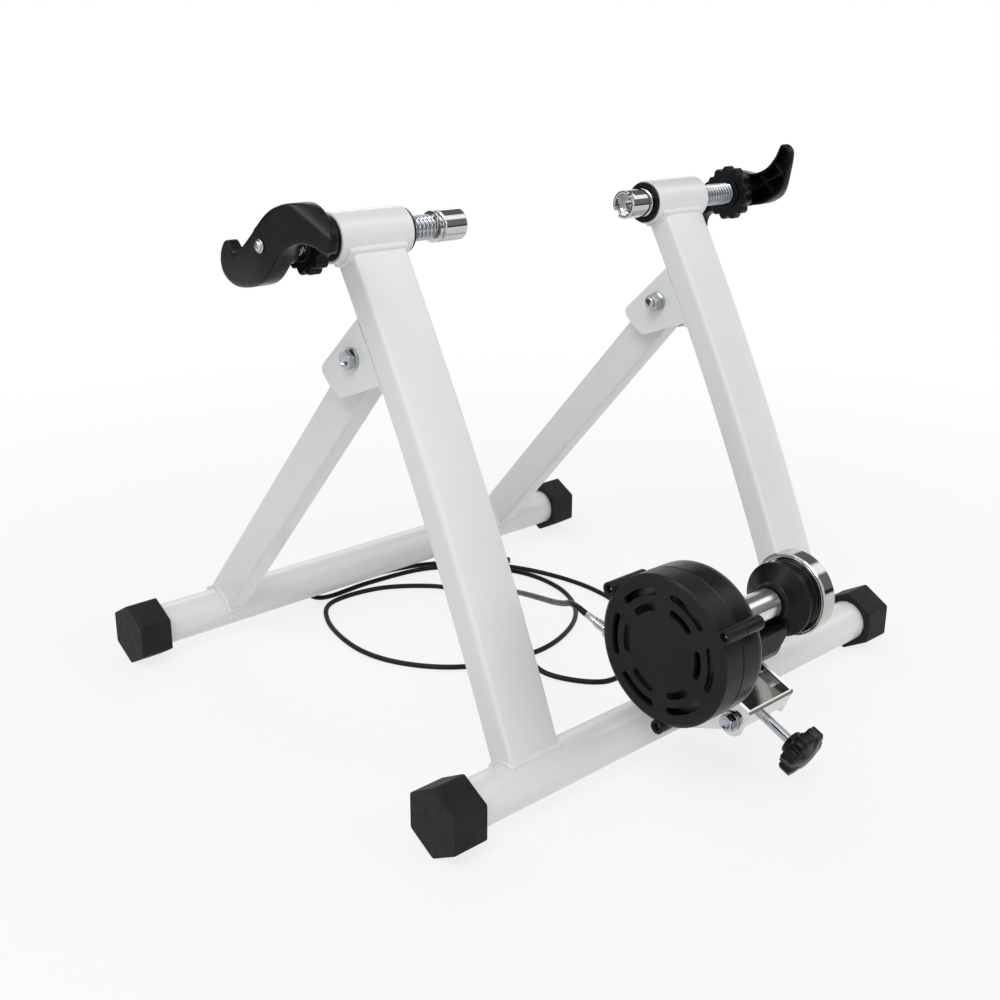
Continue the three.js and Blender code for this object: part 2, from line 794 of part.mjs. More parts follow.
function bracket_body() {
  const inner_half = upright_width / 2 - bracket_plate;
  const outline = cheek_shares.map(([y, z]) => [hinge_y + y * bracket_size, hinge_height + z * bracket_size]);
  const web_path = upright_body(upright_width, upright_depth + 2 * bracket_web, 0);
  const band = block(upright_width, bar_spacing, bracket_web_height, 0, hinge_y, hinge_height);
  const behind = pushed([
    [hinge_y - bracket_size, hinge_height - bracket_size],
    [hinge_y + bracket_size, hinge_height - bracket_size],
    [hinge_y + bracket_size, hinge_height + bracket_size],
    [hinge_y - bracket_web_lean, hinge_height + bracket_size],
  ], -upright_width, upright_width);
  const web = web_path.intersect(band).intersect(behind);
  const bolt_hole = shifted(
    rod_along_x(-upright_width, upright_width, hinge_bolt_radius + touch_gap, small_sides),
    0, hinge_y, hinge_height);
  const plates = join(
    pushed(outline, -upright_width / 2, -inner_half),
    pushed(outline, inner_half, upright_width / 2),
    web,
  );
  return cut(plates, upright_space, bolt_hole);
}

const bracket_piece = bracket_body();

function six_sided(radius) {
  return Array.from({ length: 6 }, (_, i) => {
    const angle = Math.PI * i / 3;
    return [radius * Math.cos(angle), radius * Math.sin(angle)];
  });
}

for (const [side_name, side] of [['left', -1], ['right', 1]]) {
  add(frame_group, `hinge_bracket_${side_name}`, shifted(bracket_piece, side * side_x, 0, 0), white_paint);
  const outer = side_x + upright_width / 2 + touch_gap;
  const inner = side_x - upright_width / 2 - touch_gap;
  const head_start = outer + hinge_washer_thickness;
  const bolt = join(
    rod_along_x(inner - hinge_washer_thickness - hinge_nut_height - hinge_bolt_tail, head_start + touch_gap,
      hinge_bolt_radius, small_sides),
    rod_along_x(outer, head_start, hinge_washer_radius, small_sides),
    pushed(six_sided(hinge_head_radius), head_start - touch_gap, head_start + hinge_head_height),
  );
  const nut_end = inner - hinge_washer_thickness - hinge_nut_height;
  const nut = cut(
    join(
      rod_along_x(inner - hinge_washer_thickness, inner, hinge_washer_radius, small_sides),
      pushed(six_sided(hinge_head_radius), nut_end, inner - hinge_washer_thickness + touch_gap),
    ),
    rod_along_x(nut_end - cut_overrun, inner + cut_overrun, hinge_bolt_radius + touch_gap, small_sides),
  );
  for (const [name, body] of [['hinge_bolt', bolt], ['hinge_nut', nut]]) {
    const mesh = add(frame_group, `${name}_${side_name}`, body, zinc);
    mesh.position.set(0, hinge_y, hinge_height);
    if (side < 0) mesh.rotation.y = Math.PI;
  }
}

// Rear legs and bar, one folding frame

const rear_group = new THREE.Group();
trainer.add(rear_group);
ground_bar(rear_group, 'rear', rear_bar_length, rear_y);

const leg_run = new THREE.Vector2(rear_y + leg_lift - hinge_y, bar_height + leg_lift - hinge_height);
const leg_length = leg_run.length();
const leg_angle = Math.atan2(leg_run.y, leg_run.x);

function leg_body() {
  const half = leg_depth / 2;
  const rounded_end = Array.from({ length: leg_end_steps + 1 }, (_, i) => {
    const angle = Math.PI / 2 + Math.PI * i / leg_end_steps;
    return [half * Math.cos(angle), half * Math.sin(angle)];
  });
  const outline = [...rounded_end, [leg_length, -half], [leg_length, half]];
  const outer = shifted(raised(outline, leg_thickness, [], leg_edge_radius), 0, 0, -leg_thickness / 2);
  const hollow = block(leg_length - leg_depth, leg_depth - 2 * leg_wall, leg_thickness - 2 * leg_wall,
    (leg_length + leg_depth) / 2, 0, 0);
  const bolt_hole = shifted(
    raised(circle_points(hinge_bolt_radius + slide_gap, small_sides), 2 * leg_thickness), 0, 0, -leg_thickness);
  const place = new THREE.Matrix4().makeBasis(
    new THREE.Vector3(0, Math.cos(leg_angle), Math.sin(leg_angle)),
    new THREE.Vector3(0, -Math.sin(leg_angle), Math.cos(leg_angle)),
    new THREE.Vector3(1, 0, 0),
  );
  place.setPosition(0, hinge_y, hinge_height);
  const rear_space = shifted(
    rod_along_x(-leg_thickness, leg_thickness, bar_radius + touch_gap), 0, rear_y, bar_height);
  return cut(moved(cut(outer, hollow, bolt_hole), place), rear_space);
}

const leg_piece = leg_body();
for (const [side_name, side] of [['left', -1], ['right', 1]]) {
  add(rear_group, `leg_${side_name}`, shifted(leg_piece, side * side_x, 0, 0), white_paint);
  const cheek_inside = upright_width / 2 - bracket_plate - touch_gap;
  for (const [place, outward] of [['outer', side], ['inner', -side]]) {
    const near = side * side_x + outward * (leg_thickness / 2 + touch_gap);
    const far = side * side_x + outward * cheek_inside;
    const spacer = ring_along_x(Math.min(near, far), Math.max(near, far), spacer_radius,
      hinge_bolt_radius + touch_gap, small_sides);
    add(rear_group, `hinge_spacer_${side_name}_${place}`, shifted(spacer, 0, hinge_y, hinge_height), zinc);
  }
}

// White carrier on the front bar: two cheeks, a deck with a slot and a front flange

// carrier frame: origin on the cross pin, u rearwards and up along the deck, v square to it
const tilt_cos = Math.cos(carrier_tilt);
const tilt_sin = Math.sin(carrier_tilt);
const on_deck = (u, v) => [
  trunnion_y + u * tilt_cos - v * tilt_sin,
  trunnion_height + u * tilt_sin + v * tilt_cos,
];
const carrier_start = carrier_middle_x - carrier_width / 2;
const carrier_end = carrier_middle_x + carrier_width / 2;
const bar_space_long = shifted(
  rod_along_x(-carrier_width, carrier_width, bar_radius + touch_gap), carrier_middle_x, front_y, bar_height);

const carrier_tail_shares = [[1.576, -0.126], [1.54, 0.07], [1.45, 0.19], [1.32, 0.243]];
const nose_arc_shares = [1.155, 1.26, 1.37, 1.47, 1.57];
const rim_rise = carrier_top_rise + carrier_rim;
const flange_front = carrier_nose_length + carrier_plate;

function carrier_body() {
  const nose = nose_arc_shares.map((share) => on_deck(
    carrier_nose_radius * Math.cos(Math.PI * share), carrier_nose_radius * Math.sin(Math.PI * share)));
  const cheek = [
    on_deck(-carrier_nose_length, rim_rise),
    on_deck(-flange_front, rim_rise - carrier_plate),
    ...nose,
    [front_y - bar_radius, bar_height - bar_radius / 3],
    [front_y, bar_height],
    [front_y + bar_radius / 2, bar_height + bar_radius],
    ...carrier_tail_shares.map(([u, v]) => on_deck(u * carrier_deck_length, v * carrier_deck_length)),
    on_deck(carrier_deck_length, rim_rise),
  ];
  const deck = [
    on_deck(-carrier_nose_length, carrier_top_rise),
    on_deck(-carrier_nose_length, carrier_top_rise - carrier_plate),
    on_deck(carrier_deck_length - carrier_nose_radius, carrier_top_rise - carrier_plate),
    on_deck(carrier_deck_length - carrier_nose_radius, carrier_top_rise),
  ];
  const flange = [
    on_deck(-carrier_nose_length, rim_rise),
    on_deck(-flange_front, rim_rise - carrier_plate),
    on_deck(-flange_front, carrier_flange_rise + carrier_lip / 2),
    on_deck(-carrier_nose_length - carrier_plate / 2, carrier_flange_rise),
    on_deck(-carrier_nose_length, carrier_flange_rise),
  ];
  const whole = join(
    pushed(cheek, carrier_start, carrier_start + carrier_plate),
    pushed(cheek, carrier_end - carrier_plate, carrier_end),
    pushed(deck, carrier_start, carrier_end),
    pushed(flange, carrier_start, carrier_end),
  );
  const slot_end = carrier_end - slot_inset;
  const slot = pushed([
    on_deck(slot_start, 0), on_deck(slot_start + slot_length, 0),
    on_deck(slot_start + slot_length, 2 * carrier_top_rise), on_deck(slot_start, 2 * carrier_top_rise),
  ], slot_end - slot_width, slot_end);
  const window_start = adjust_screw_inner - arm_clearance;
  const arm_window = pushed([
    on_deck(window_start, 0), on_deck(2 * carrier_deck_length, 0),
    on_deck(2 * carrier_deck_length, 2 * carrier_top_rise), on_deck(window_start, 2 * carrier_top_rise),
  ], arm_start_x - arm_clearance / 2, arm_end_x + arm_clearance / 2);
  const pin_holes = shifted(
    rod_along_x(carrier_start - cut_overrun, carrier_end + cut_overrun, trunnion_pin_radius + touch_gap, small_sides),
    0, trunnion_y, trunnion_height);
  const pivot_holes = shifted(
    rod_along_x(carrier_start - cut_overrun, carrier_end + cut_overrun, pivot_pin_radius + touch_gap, small_sides),
    0, pivot_y, pivot_height);
  const screw_window = moved(
    raised(circle_points(adjust_screw_radius + slide_gap, small_sides), 4 * carrier_nose_length),
    new THREE.Matrix4().makeBasis(
      new THREE.Vector3(1, 0, 0),
      new THREE.Vector3(0, tilt_sin, -tilt_cos),
      new THREE.Vector3(0, -tilt_cos, -tilt_sin),
    ).setPosition(screw_line_x, trunnion_y, trunnion_height));
  return cut(whole, bar_space_long, slot, arm_window, pin_holes, pivot_holes, screw_window);
}

add(frame_group, 'unit_carrier', carrier_body(), white_paint);

// cross pin with a barrel that the adjusting screw threads through
const barrel_start = screw_line_x - trunnion_barrel_length / 2;
const barrel_end = screw_line_x + trunnion_barrel_length / 2;
const pin_left = carrier_start - touch_gap;
const pin_right = carrier_end + touch_gap;
const screw_direction = new THREE.Vector3(0, -tilt_cos, -tilt_sin);
const screw_basis = new THREE.Matrix4().makeBasis(
  new THREE.Vector3(1, 0, 0),
  new THREE.Vector3(0, tilt_sin, -tilt_cos),
  screw_direction,
).setPosition(screw_line_x, trunnion_y, trunnion_height);
const cross_pin = cut(
  shifted(join(
    rod_along_x(barrel_start, barrel_end, trunnion_radius, small_sides),
    rod_along_x(pin_left - trunnion_head_height, pin_right + trunnion_nut_height, trunnion_pin_radius, small_sides),
    rod_along_x(pin_left - trunnion_washer_thickness, pin_left, trunnion_washer_radius, small_sides),
    pushed(six_sided(trunnion_head_radius), pin_left - trunnion_washer_thickness - trunnion_head_height,
      pin_left - trunnion_washer_thickness + touch_gap),
    pushed(six_sided(trunnion_head_radius), pin_right, pin_right + trunnion_nut_height - touch_gap),
  ), 0, trunnion_y, trunnion_height),
  moved(
    shifted(raised(circle_points(adjust_screw_radius + touch_gap, small_sides), 4 * trunnion_radius), 0, 0,
      -2 * trunnion_radius),
    screw_basis,
  ),
);
add(frame_group, 'cross_pin', cross_pin, zinc);

const pivot_pin = rod_along_x(carrier_start + touch_gap, carrier_end - touch_gap, pivot_pin_radius, small_sides);
add(frame_group, 'pivot_pin', shifted(pivot_pin, 0, pivot_y, pivot_height), zinc);

// adjusting screw and its star knob, along +z of their own group, knob outwards
const screw_group = new THREE.Group();
screw_group.matrixAutoUpdate = false;
screw_group.matrix.copy(screw_basis);
trainer.add(screw_group);
const on_screw = (body) => moved(body, new THREE.Matrix4().makeRotationY(-Math.PI / 2));
const screw_body = on_screw(turned([
  [-adjust_screw_inner, 0],
  [-adjust_screw_inner, adjust_screw_tip_radius],
  [adjust_screw_tip_length - adjust_screw_inner, adjust_screw_radius],
  [adjust_screw_outer, adjust_screw_radius],
  [adjust_screw_outer, 0],
], small_sides));
add(screw_group, 'adjusting_screw', screw_body, zinc);

function knob_outline(shrink) {
  return Array.from({ length: knob_flute_count * 4 }, (_, i) => {
    const angle = 2 * Math.PI * i / (knob_flute_count * 4);
    const lobe = knob_lobe_height * Math.pow(Math.abs(Math.sin(knob_lobe_count * angle / 2)), 3);
    const flute = knob_flute_height * (i % 4 < 2 ? 0 : 1);
    const radius = knob_radius - lobe - flute - shrink;
    return [radius * Math.cos(angle), radius * Math.sin(angle)];
  });
}

const knob_start = adjust_screw_outer - knob_thickness;
const dome_radius = knob_radius - knob_lobe_height;
const dome_shares = [[0, 0], [0, 0.9], [0.55, 0.72], [0.9, 0.4], [1, 0]];
const dome = on_screw(turned(
  dome_shares.map(([rise, reach]) => [rise * knob_dome, reach * dome_radius]), small_sides));
const knob = cut(
  join(
    shifted(raised(knob_outline(0), knob_thickness), 0, 0, knob_start),
    shifted(raised(circle_points(knob_hub_radius, small_sides), knob_hub_height + knob_thickness / 2), 0, 0,
      knob_start - knob_hub_height),
    shifted(dome, 0, 0, adjust_screw_outer),
  ),
  shifted(raised(circle_points(adjust_screw_radius + touch_gap, small_sides), 2 * knob_thickness), 0, 0,
    adjust_screw_outer + touch_gap - 2 * knob_thickness),
);
add(screw_group, 'star_knob', knob, black_plastic);

// Resistance unit, hung on the swing arm

const unit_group = new THREE.Group();
unit_group.position.set(0, unit_y, unit_height);
trainer.add(unit_group);

// a curved slot centred on an angle
function arc_slot(circle, sweep, width, middle) {
  const points = [];
  const steps = 5;
  const ends = width / 2 / circle;
  for (let i = 0; i <= steps; i += 1) {
    const angle = middle - sweep / 2 + ends + (sweep - 2 * ends) * i / steps;
    points.push([(circle + width / 2) * Math.cos(angle), (circle + width / 2) * Math.sin(angle)]);
  }
  const far = middle + sweep / 2;
  points.push([circle * Math.cos(far), circle * Math.sin(far)]);
  for (let i = steps; i >= 0; i -= 1) {
    const angle = middle - sweep / 2 + ends + (sweep - 2 * ends) * i / steps;
    points.push([(circle - width / 2) * Math.cos(angle), (circle - width / 2) * Math.sin(angle)]);
  }
  const near = middle - sweep / 2;
  points.push([circle * Math.cos(near), circle * Math.sin(near)]);
  return points;
}

const vent_outer_circle = housing_radius - vent_margin;
const vent_inner_circle = vent_outer_circle - vent_row_spacing;
const screw_post_circle = housing_radius + screw_post_standout;
const vents = [];
for (let i = 0; i < vent_count; i += 1) {
  const middle = vent_start + 2 * Math.PI * i / vent_count;
  vents.push(arc_slot(vent_outer_circle, vent_outer_sweep, vent_width, middle));
  vents.push(arc_slot(vent_inner_circle, vent_inner_sweep, vent_width, middle));
}

const cover_end = housing_face_x + housing_cover_depth;
const housing_end = housing_face_x + housing_depth;
const post_places = Array.from({ length: screw_post_count }, (_, i) => {
  const angle = Math.PI - screw_post_start + 2 * Math.PI * i / screw_post_count;
  return [screw_post_circle * Math.cos(angle), screw_post_circle * Math.sin(angle)];
});

function screw_posts(start, end) {
  return post_places.map(([y, z]) => shifted(rod_along_x(start, end, screw_post_radius, small_sides), 0, y, z));
}

const cover_rim = turned([
  [housing_face_x, 0],
  [housing_face_x, housing_radius - housing_edge],
  [housing_face_x + housing_edge / 3, housing_radius - housing_edge / 3],
  [housing_face_x + housing_edge, housing_radius],
  [cover_end, housing_radius],
  [cover_end, 0],
], fine_sides);
const cover_hollow = rod_along_x(
  housing_face_x + housing_front_wall, cover_end + cut_overrun, housing_radius - housing_wall, fine_sides);
const vent_cutters = vents.map((outline) => pushed(
  outline, housing_face_x - cut_overrun, housing_face_x + housing_front_wall + cut_overrun));
const post_bores = post_places.map(([y, z]) => shifted(
  rod_along_x(housing_face_x - cut_overrun, housing_face_x + screw_post_bore_depth, screw_post_bore, small_sides), 0, y, z));
const cover = cut(
  join(cut(cover_rim, cover_hollow), ...screw_posts(housing_face_x, cover_end)),
  ...vent_cutters,
  ...post_bores,
);
add(unit_group, 'housing_cover', cover, grey_plastic);

const shell_start = cover_end + touch_gap;
const back_shell = turned([
  [shell_start, 0],
  [shell_start, housing_radius],
  [housing_end - housing_depth / 5, housing_radius],
  [housing_end - housing_edge, housing_radius - housing_back_step / 2],
  [housing_end, housing_radius - housing_back_step],
  [housing_end, 0],
], fine_sides);
const back_hollow = turned([
  [shell_start - cut_overrun, 0],
  [shell_start - cut_overrun, housing_radius - housing_wall],
  [housing_end - housing_depth / 5, housing_radius - housing_wall],
  [housing_end - housing_back_wall, housing_radius - housing_back_step - 2 * housing_wall],
  [housing_end - housing_back_wall, 0],
], fine_sides);
const yoke_end = bell_neck_x + bell_cone_length / 2;
const yoke_outline = [
  [-yoke_front_offset + yoke_chamfer / 2, -yoke_top_drop + yoke_chamfer / 2],
  [-yoke_front_offset, -yoke_top_drop - yoke_chamfer / 2],
  [-yoke_front_offset, -yoke_bottom_drop + yoke_chamfer / 3],
  [-yoke_front_offset + yoke_chamfer / 3, -yoke_bottom_drop],
  [yoke_back_offset, -yoke_bottom_drop],
  [yoke_back_offset, -yoke_top_drop + yoke_chamfer / 2],
];
const bell = turned([
  [bell_neck_x, shaft_radius + slide_gap],
  [bell_neck_x, bell_neck_radius],
  [bell_neck_x + bell_rim_width / 2, bell_neck_radius],
  [bell_neck_x + bell_rim_width, bell_neck_radius + bell_rim_width / 2],
  [bell_neck_x + bell_cone_length, bell_radius],
  [bell_neck_x + bell_cone_length + bell_rim_width, bell_radius],
  [bell_neck_x + bell_cone_length + bell_rim_width, bell_radius - bell_wall],
  [bell_neck_x + bell_wall * 2, bell_neck_radius - bell_wall],
  [bell_neck_x + bell_wall * 2, shaft_radius + slide_gap],
  [bell_neck_x, shaft_radius + slide_gap],
]);
const strut = pushed([
  [-yoke_front_offset, -yoke_bottom_drop],
  [yoke_back_offset, -yoke_bottom_drop],
  [yoke_back_offset, -bell_neck_radius + bell_wall],
  [-yoke_front_offset, -bell_neck_radius + bell_wall],
], bell_neck_x + bell_wall, bell_neck_x + bell_wall + strut_thickness);
const shaft_hole = rod_along_x(
  housing_face_x, shaft_end_x + cut_overrun, shaft_radius + slide_gap, small_sides);
const plate_guide = ring_along_x(shell_start, housing_end - housing_back_wall / 2,
  magnet_ring_inner_radius - touch_gap, magnet_ring_inner_radius - touch_gap - housing_wall);
const unit_body = cut(
  join(
    cut(back_shell, back_hollow),
    plate_guide,
    ...screw_posts(shell_start, housing_end - housing_depth / 10),
    pushed(yoke_outline, housing_end - housing_back_wall, yoke_end),
    bell,
    strut,
  ),
  shaft_hole,
);
add(unit_group, 'unit_body', unit_body, black_plastic);

// swing arm from the pivot pin up to the yoke
const pivot_dy = pivot_y - unit_y;
const pivot_dz = pivot_height - unit_height;
const arm_top = -yoke_bottom_drop - touch_gap;

const arm_height = arm_top - pivot_dz;
const arm_belly_shares = [[-0.76, 0.94], [-0.735, 0.88], [-0.69, 0.82], [-0.615, 0.765], [-0.51, 0.71]];
const arm_back_shares = [[-0.10, 0.42], [-0.22, 0.72]];

function arm_body() {
  const from_pivot = ([y, z]) => [pivot_dy + y * arm_height, pivot_dz + z * arm_height];
  const in_unit = ([y, z]) => [y - unit_y, z - unit_height];
  const belly = arm_belly_shares.map(from_pivot);
  const back = arm_back_shares.map(from_pivot);
  const pad_u = adjust_screw_inner + touch_gap;
  const boss = Array.from({ length: 9 }, (_, i) => {
    const angle = -Math.PI * (1 - i / 8);
    return [pivot_dy + arm_boss_radius * Math.cos(angle), pivot_dz + arm_boss_radius * Math.sin(angle)];
  });
  const foot = [
    [yoke_back_offset, arm_top],
    [-yoke_front_offset + yoke_chamfer, arm_top],
  ];
  const stem = pushed([
    ...boss, ...back, ...foot, ...belly,
    in_unit(on_deck(pad_u, arm_pad_half)),
    in_unit(on_deck(pad_u, -arm_pad_half)),
  ], arm_start_x, arm_end_x);
  const shoulder = pushed([back[1], ...foot, ...belly], arm_end_x - touch_gap, arm_shoulder_x);
  const pin_bore = shifted(
    rod_along_x(carrier_start, carrier_end, pivot_pin_radius + slide_gap, small_sides), 0, pivot_dy, pivot_dz);
  return cut(join(stem, shoulder), pin_bore);
}

add(unit_group, 'swing_arm', arm_body(), black_plastic);

// spinning pieces on the unit's axis
const roller_start_x = roller_end_x - roller_length;
const roller = turned([
  [roller_start_x, shaft_radius + touch_gap],
  [roller_start_x, roller_radius - roller_edge],
  [roller_start_x + roller_edge, roller_radius],
  [roller_end_x - roller_edge, roller_radius],
  [roller_end_x, roller_radius - roller_edge],
  [roller_end_x, shaft_radius + touch_gap],
  [roller_start_x, shaft_radius + touch_gap],
]);
add(unit_group, 'roller', roller, brushed_steel);
add(unit_group, 'shaft', rod_along_x(shaft_start_x, shaft_end_x, shaft_radius, small_sides), zinc);

const fan_radius = flywheel_radius - fan_step;
const fan_profile = [[fan_start_x, shaft_radius + touch_gap], [fan_start_x, fan_radius]];
const fan_groove_count = 2;
for (let i = 1; i <= fan_groove_count; i += 1) {
  const middle = fan_start_x + fan_length * i / (fan_groove_count + 1);
  fan_profile.push(
    [middle - fan_groove_width / 2, fan_radius],
    [middle - fan_groove_width / 2, fan_radius - fan_groove_depth],
    [middle + fan_groove_width / 2, fan_radius - fan_groove_depth],
    [middle + fan_groove_width / 2, fan_radius],
  );
}
fan_profile.push(
  [fan_start_x + fan_length, fan_radius],
  [fan_start_x + fan_length, shaft_radius + touch_gap],
  [fan_start_x, shaft_radius + touch_gap],
);
add(unit_group, 'flywheel_core', turned(fan_profile, fine_sides), black_plastic);

const wheel_end = flywheel_start_x + flywheel_length;
const web_start = flywheel_start_x;
const flywheel = turned([
  [flywheel_start_x, shaft_radius + touch_gap],
  [flywheel_start_x, flywheel_radius - flywheel_edge],
  [flywheel_start_x + flywheel_edge, flywheel_radius],
  [wheel_end - flywheel_edge, flywheel_radius],
  [wheel_end, flywheel_radius - flywheel_edge],
  [wheel_end, flywheel_radius - flywheel_rim],
  [web_start + flywheel_web, flywheel_radius - flywheel_rim - flywheel_edge],
  [web_start + flywheel_web, flywheel_hub_radius],
  [wheel_end, flywheel_hub_radius - flywheel_edge],
  [wheel_end, shaft_radius + touch_gap],
  [flywheel_start_x, shaft_radius + touch_gap],
], fine_sides);
add(unit_group, 'flywheel', flywheel, chrome);

const rotor = turned([
  [rotor_x, shaft_radius + touch_gap],
  [rotor_x, rotor_radius],
  [rotor_x + rotor_thickness, rotor_radius],
  [rotor_x + rotor_thickness, rotor_hub_radius],
  [rotor_x + rotor_hub_length, rotor_hub_radius],
  [rotor_x + rotor_hub_length, shaft_radius + touch_gap],
  [rotor_x, shaft_radius + touch_gap],
], fine_sides);
add(unit_group, 'rotor_disc', rotor, aluminium);

const magnet_circle = rotor_radius - magnet_margin;
const magnets = Array.from({ length: magnet_count }, (_, i) => {
  const angle = 2 * Math.PI * i / magnet_count;
  return shifted(
    rod_along_x(magnet_ring_x - magnet_height, magnet_ring_x + touch_gap, magnet_radius, small_sides),
    0, magnet_circle * Math.cos(angle), magnet_circle * Math.sin(angle));
});
const magnet_ring = join(
  ring_along_x(magnet_ring_x, magnet_ring_x + magnet_ring_thickness, rotor_radius, magnet_ring_inner_radius,
    fine_sides),
  ...magnets,
);
add(unit_group, 'magnet_plate', magnet_ring, zinc);

// cable adjuster on the side of the cover
const adjuster_group = new THREE.Group();
adjuster_group.position.set(adjuster_x, housing_radius * Math.cos(Math.asin(adjuster_rise / housing_radius)),
  adjuster_rise);
adjuster_group.rotation.x = adjuster_tilt;
unit_group.add(adjuster_group);
const adjuster_start = adjuster_nut_thickness / 2;
const along_y = (body) => moved(body, new THREE.Matrix4().makeRotationZ(Math.PI / 2));
const adjuster = join(
  rod_along_x(adjuster_start, adjuster_start + adjuster_length, adjuster_radius, small_sides),
  pushed(six_sided(adjuster_nut_radius), adjuster_start, adjuster_start + adjuster_nut_thickness),
);
add(adjuster_group, 'cable_adjuster', along_y(adjuster), aluminium);

// Handlebar lever, lying on the floor between the legs
const lever_group = new THREE.Group();
lever_group.position.set(lever_x, lever_y, 0);
lever_group.rotation.z = lever_turn;
trainer.add(lever_group);
const clamp_reach = lever_body_radius + lever_clamp_outer_radius - cut_overrun;
const clamp_x = clamp_reach * Math.cos(lever_clamp_turn);
const clamp_y = clamp_reach * Math.sin(lever_clamp_turn);
const clamp_ring = raised(
  circle_points(lever_clamp_outer_radius, round_sides, clamp_x, clamp_y),
  lever_clamp_width,
  [circle_points(lever_clamp_inner_radius, round_sides, clamp_x, clamp_y).reverse()],
);
const cable_boss = shifted(
  rod_along_x(-lever_body_radius - lever_boss_length, -lever_body_radius / 2, lever_boss_radius, small_sides),
  0, 0, lever_entry_height);
const lever_body = join(
  raised(circle_points(lever_body_radius), lever_body_height, [], lever_edge),
  clamp_ring,
  cable_boss,
);
add(lever_group, 'lever_body', lever_body, black_plastic);
const lever_bottom = lever_body_height + touch_gap;
const lever_arm = join(
  raised(circle_points(lever_hub_radius), lever_arm_thickness),
  shifted(
    raised(rounded_rectangle(lever_arm_length, lever_arm_width, lever_arm_width / 3), lever_arm_thickness),
    -lever_arm_length / 2, 0, 0),
);
const lever_mesh = add(lever_group, 'lever_arm', lever_arm, black_plastic);
lever_mesh.position.set(0, 0, lever_bottom);
lever_mesh.rotation.z = lever_rest_turn;

// Control cable, laid on the floor in loose loops
const cable_route = [
  [-100, -195.2, 131.9], [-99.4, -186, 134.2], [-95, -174, 132.5], [-84, -155, 123], [-63, -122, 107.5],
  [-38, -78, 90], [-11, -26, 70], [14, 27, 48], [34, 79, 26], [45, 122, 9.5], [38, 159, 4], [-6, 194, 2.8],
  [-66, 196, 2.8], [-94, 162, 2.8], [-110, 87, 2.8], [-96, 36, 2.8],
  [-58, -6, 2.8], [12, -27, 2.8], [67, -14, 2.8], [110, 17, 2.8], [137, 70, 2.8], [133, 134, 2.8],
  [74, 199, 2.8], [-2, 213, 2.8], [-56, 211.5, 2.8], [-66, 215, 2.8],
  [-70, 223.5, 2.8], [-66, 232, 2.8], [-56, 235.5, 2.8], [0, 231, 2.8],
  [82, 208, 2.8], [141, 140, 2.8], [161, 45, 2.8], [137, -38, 2.8], [72, -100, 2.8], [16, -113, 2.8],
  [-14, -66, 3.6], [-4, -26, 8.4], [50, 60, 3.2], [87.4, 108.3, 8.6],
];
const cable_curve = new THREE.CatmullRomCurve3(
  cable_route.map(([x, y, z]) => new THREE.Vector3(x, y, z)), false, 'centripetal');
const cable_section = new THREE.Shape(
  circle_points(cable_radius, cable_sides).map(([x, y]) => new THREE.Vector2(x, y)));
const cable = new THREE.ExtrudeGeometry(cable_section, { steps: cable_steps, extrudePath: cable_curve });
add(trainer, 'control_cable', solid(cable), black_rubber);

// The origin is the middle of the stand's footprint, on the floor
trainer.updateMatrixWorld(true);
const extent = new THREE.Box3();
trainer.traverse((piece) => {
  if (piece.isMesh && piece.name !== 'control_cable') extent.expandByObject(piece, true);
});
const middle = extent.getCenter(new THREE.Vector3());
trainer.position.set(-middle.x, -middle.y, -extent.min.z);
trainer.updateMatrixWorld(true);

export default trainer;
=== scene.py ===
"""Folding bicycle trainer stand: looks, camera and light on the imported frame."""
import json
from math import copysign, cos, pi, radians, sin, sqrt

import bmesh
import bpy
from mathutils import Matrix, Vector
from mathutils.geometry import delaunay_2d_cdt


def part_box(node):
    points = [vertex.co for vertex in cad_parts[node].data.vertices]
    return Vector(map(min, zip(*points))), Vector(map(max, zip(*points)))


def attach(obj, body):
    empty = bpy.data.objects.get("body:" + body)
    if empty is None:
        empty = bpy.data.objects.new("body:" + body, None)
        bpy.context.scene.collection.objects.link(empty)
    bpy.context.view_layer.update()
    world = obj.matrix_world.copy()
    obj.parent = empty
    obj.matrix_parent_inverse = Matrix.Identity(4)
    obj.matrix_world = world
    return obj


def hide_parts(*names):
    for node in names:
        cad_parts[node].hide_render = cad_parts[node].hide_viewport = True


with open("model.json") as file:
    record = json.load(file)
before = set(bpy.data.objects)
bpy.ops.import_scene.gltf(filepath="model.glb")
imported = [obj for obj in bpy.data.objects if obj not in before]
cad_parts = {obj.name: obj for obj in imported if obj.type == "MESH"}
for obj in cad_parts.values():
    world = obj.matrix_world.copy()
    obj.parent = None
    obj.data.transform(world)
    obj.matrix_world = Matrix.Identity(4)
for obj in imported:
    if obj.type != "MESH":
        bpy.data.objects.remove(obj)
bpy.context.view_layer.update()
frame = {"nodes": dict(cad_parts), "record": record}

# Lengths are millimetres in the stand's own frame, which is placed by the middle of the front bar
MM = 0.001
FRONT_Y = -214.0
REAR_Y = 214.0
BAR_LOW, BAR_HIGH = (Vector(corner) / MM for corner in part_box("ground_bar_front"))
SHIFT = Vector(((BAR_LOW.x + BAR_HIGH.x) / 2, (BAR_LOW.y + BAR_HIGH.y) / 2 - FRONT_Y, 0.0))

# Places of the main axes along X, as (y, z), and sizes that several pieces share
AXLE = (-26.3, 411.7)
HINGE = (-40.0, 322.0)
UNIT = (-280.4, 134.0)
TRUNNION = (-285.0, 49.0)
SIDE_X = 176.0
BAR_RADIUS = 19.0
BAR_HEIGHT = (BAR_LOW.z + BAR_HIGH.z) / 2
SLEEVE_RADIUS = 19.3
SIDES = (("left", -1), ("right", 1))


def at(x, y, z):
    """A place in the stand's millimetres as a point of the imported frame."""
    return (Vector((x, y, z)) + SHIFT) * MM


def placed(name, data):
    """A new object in the scene."""
    piece = bpy.data.objects.new(name, data)
    bpy.context.scene.collection.objects.link(piece)
    return piece


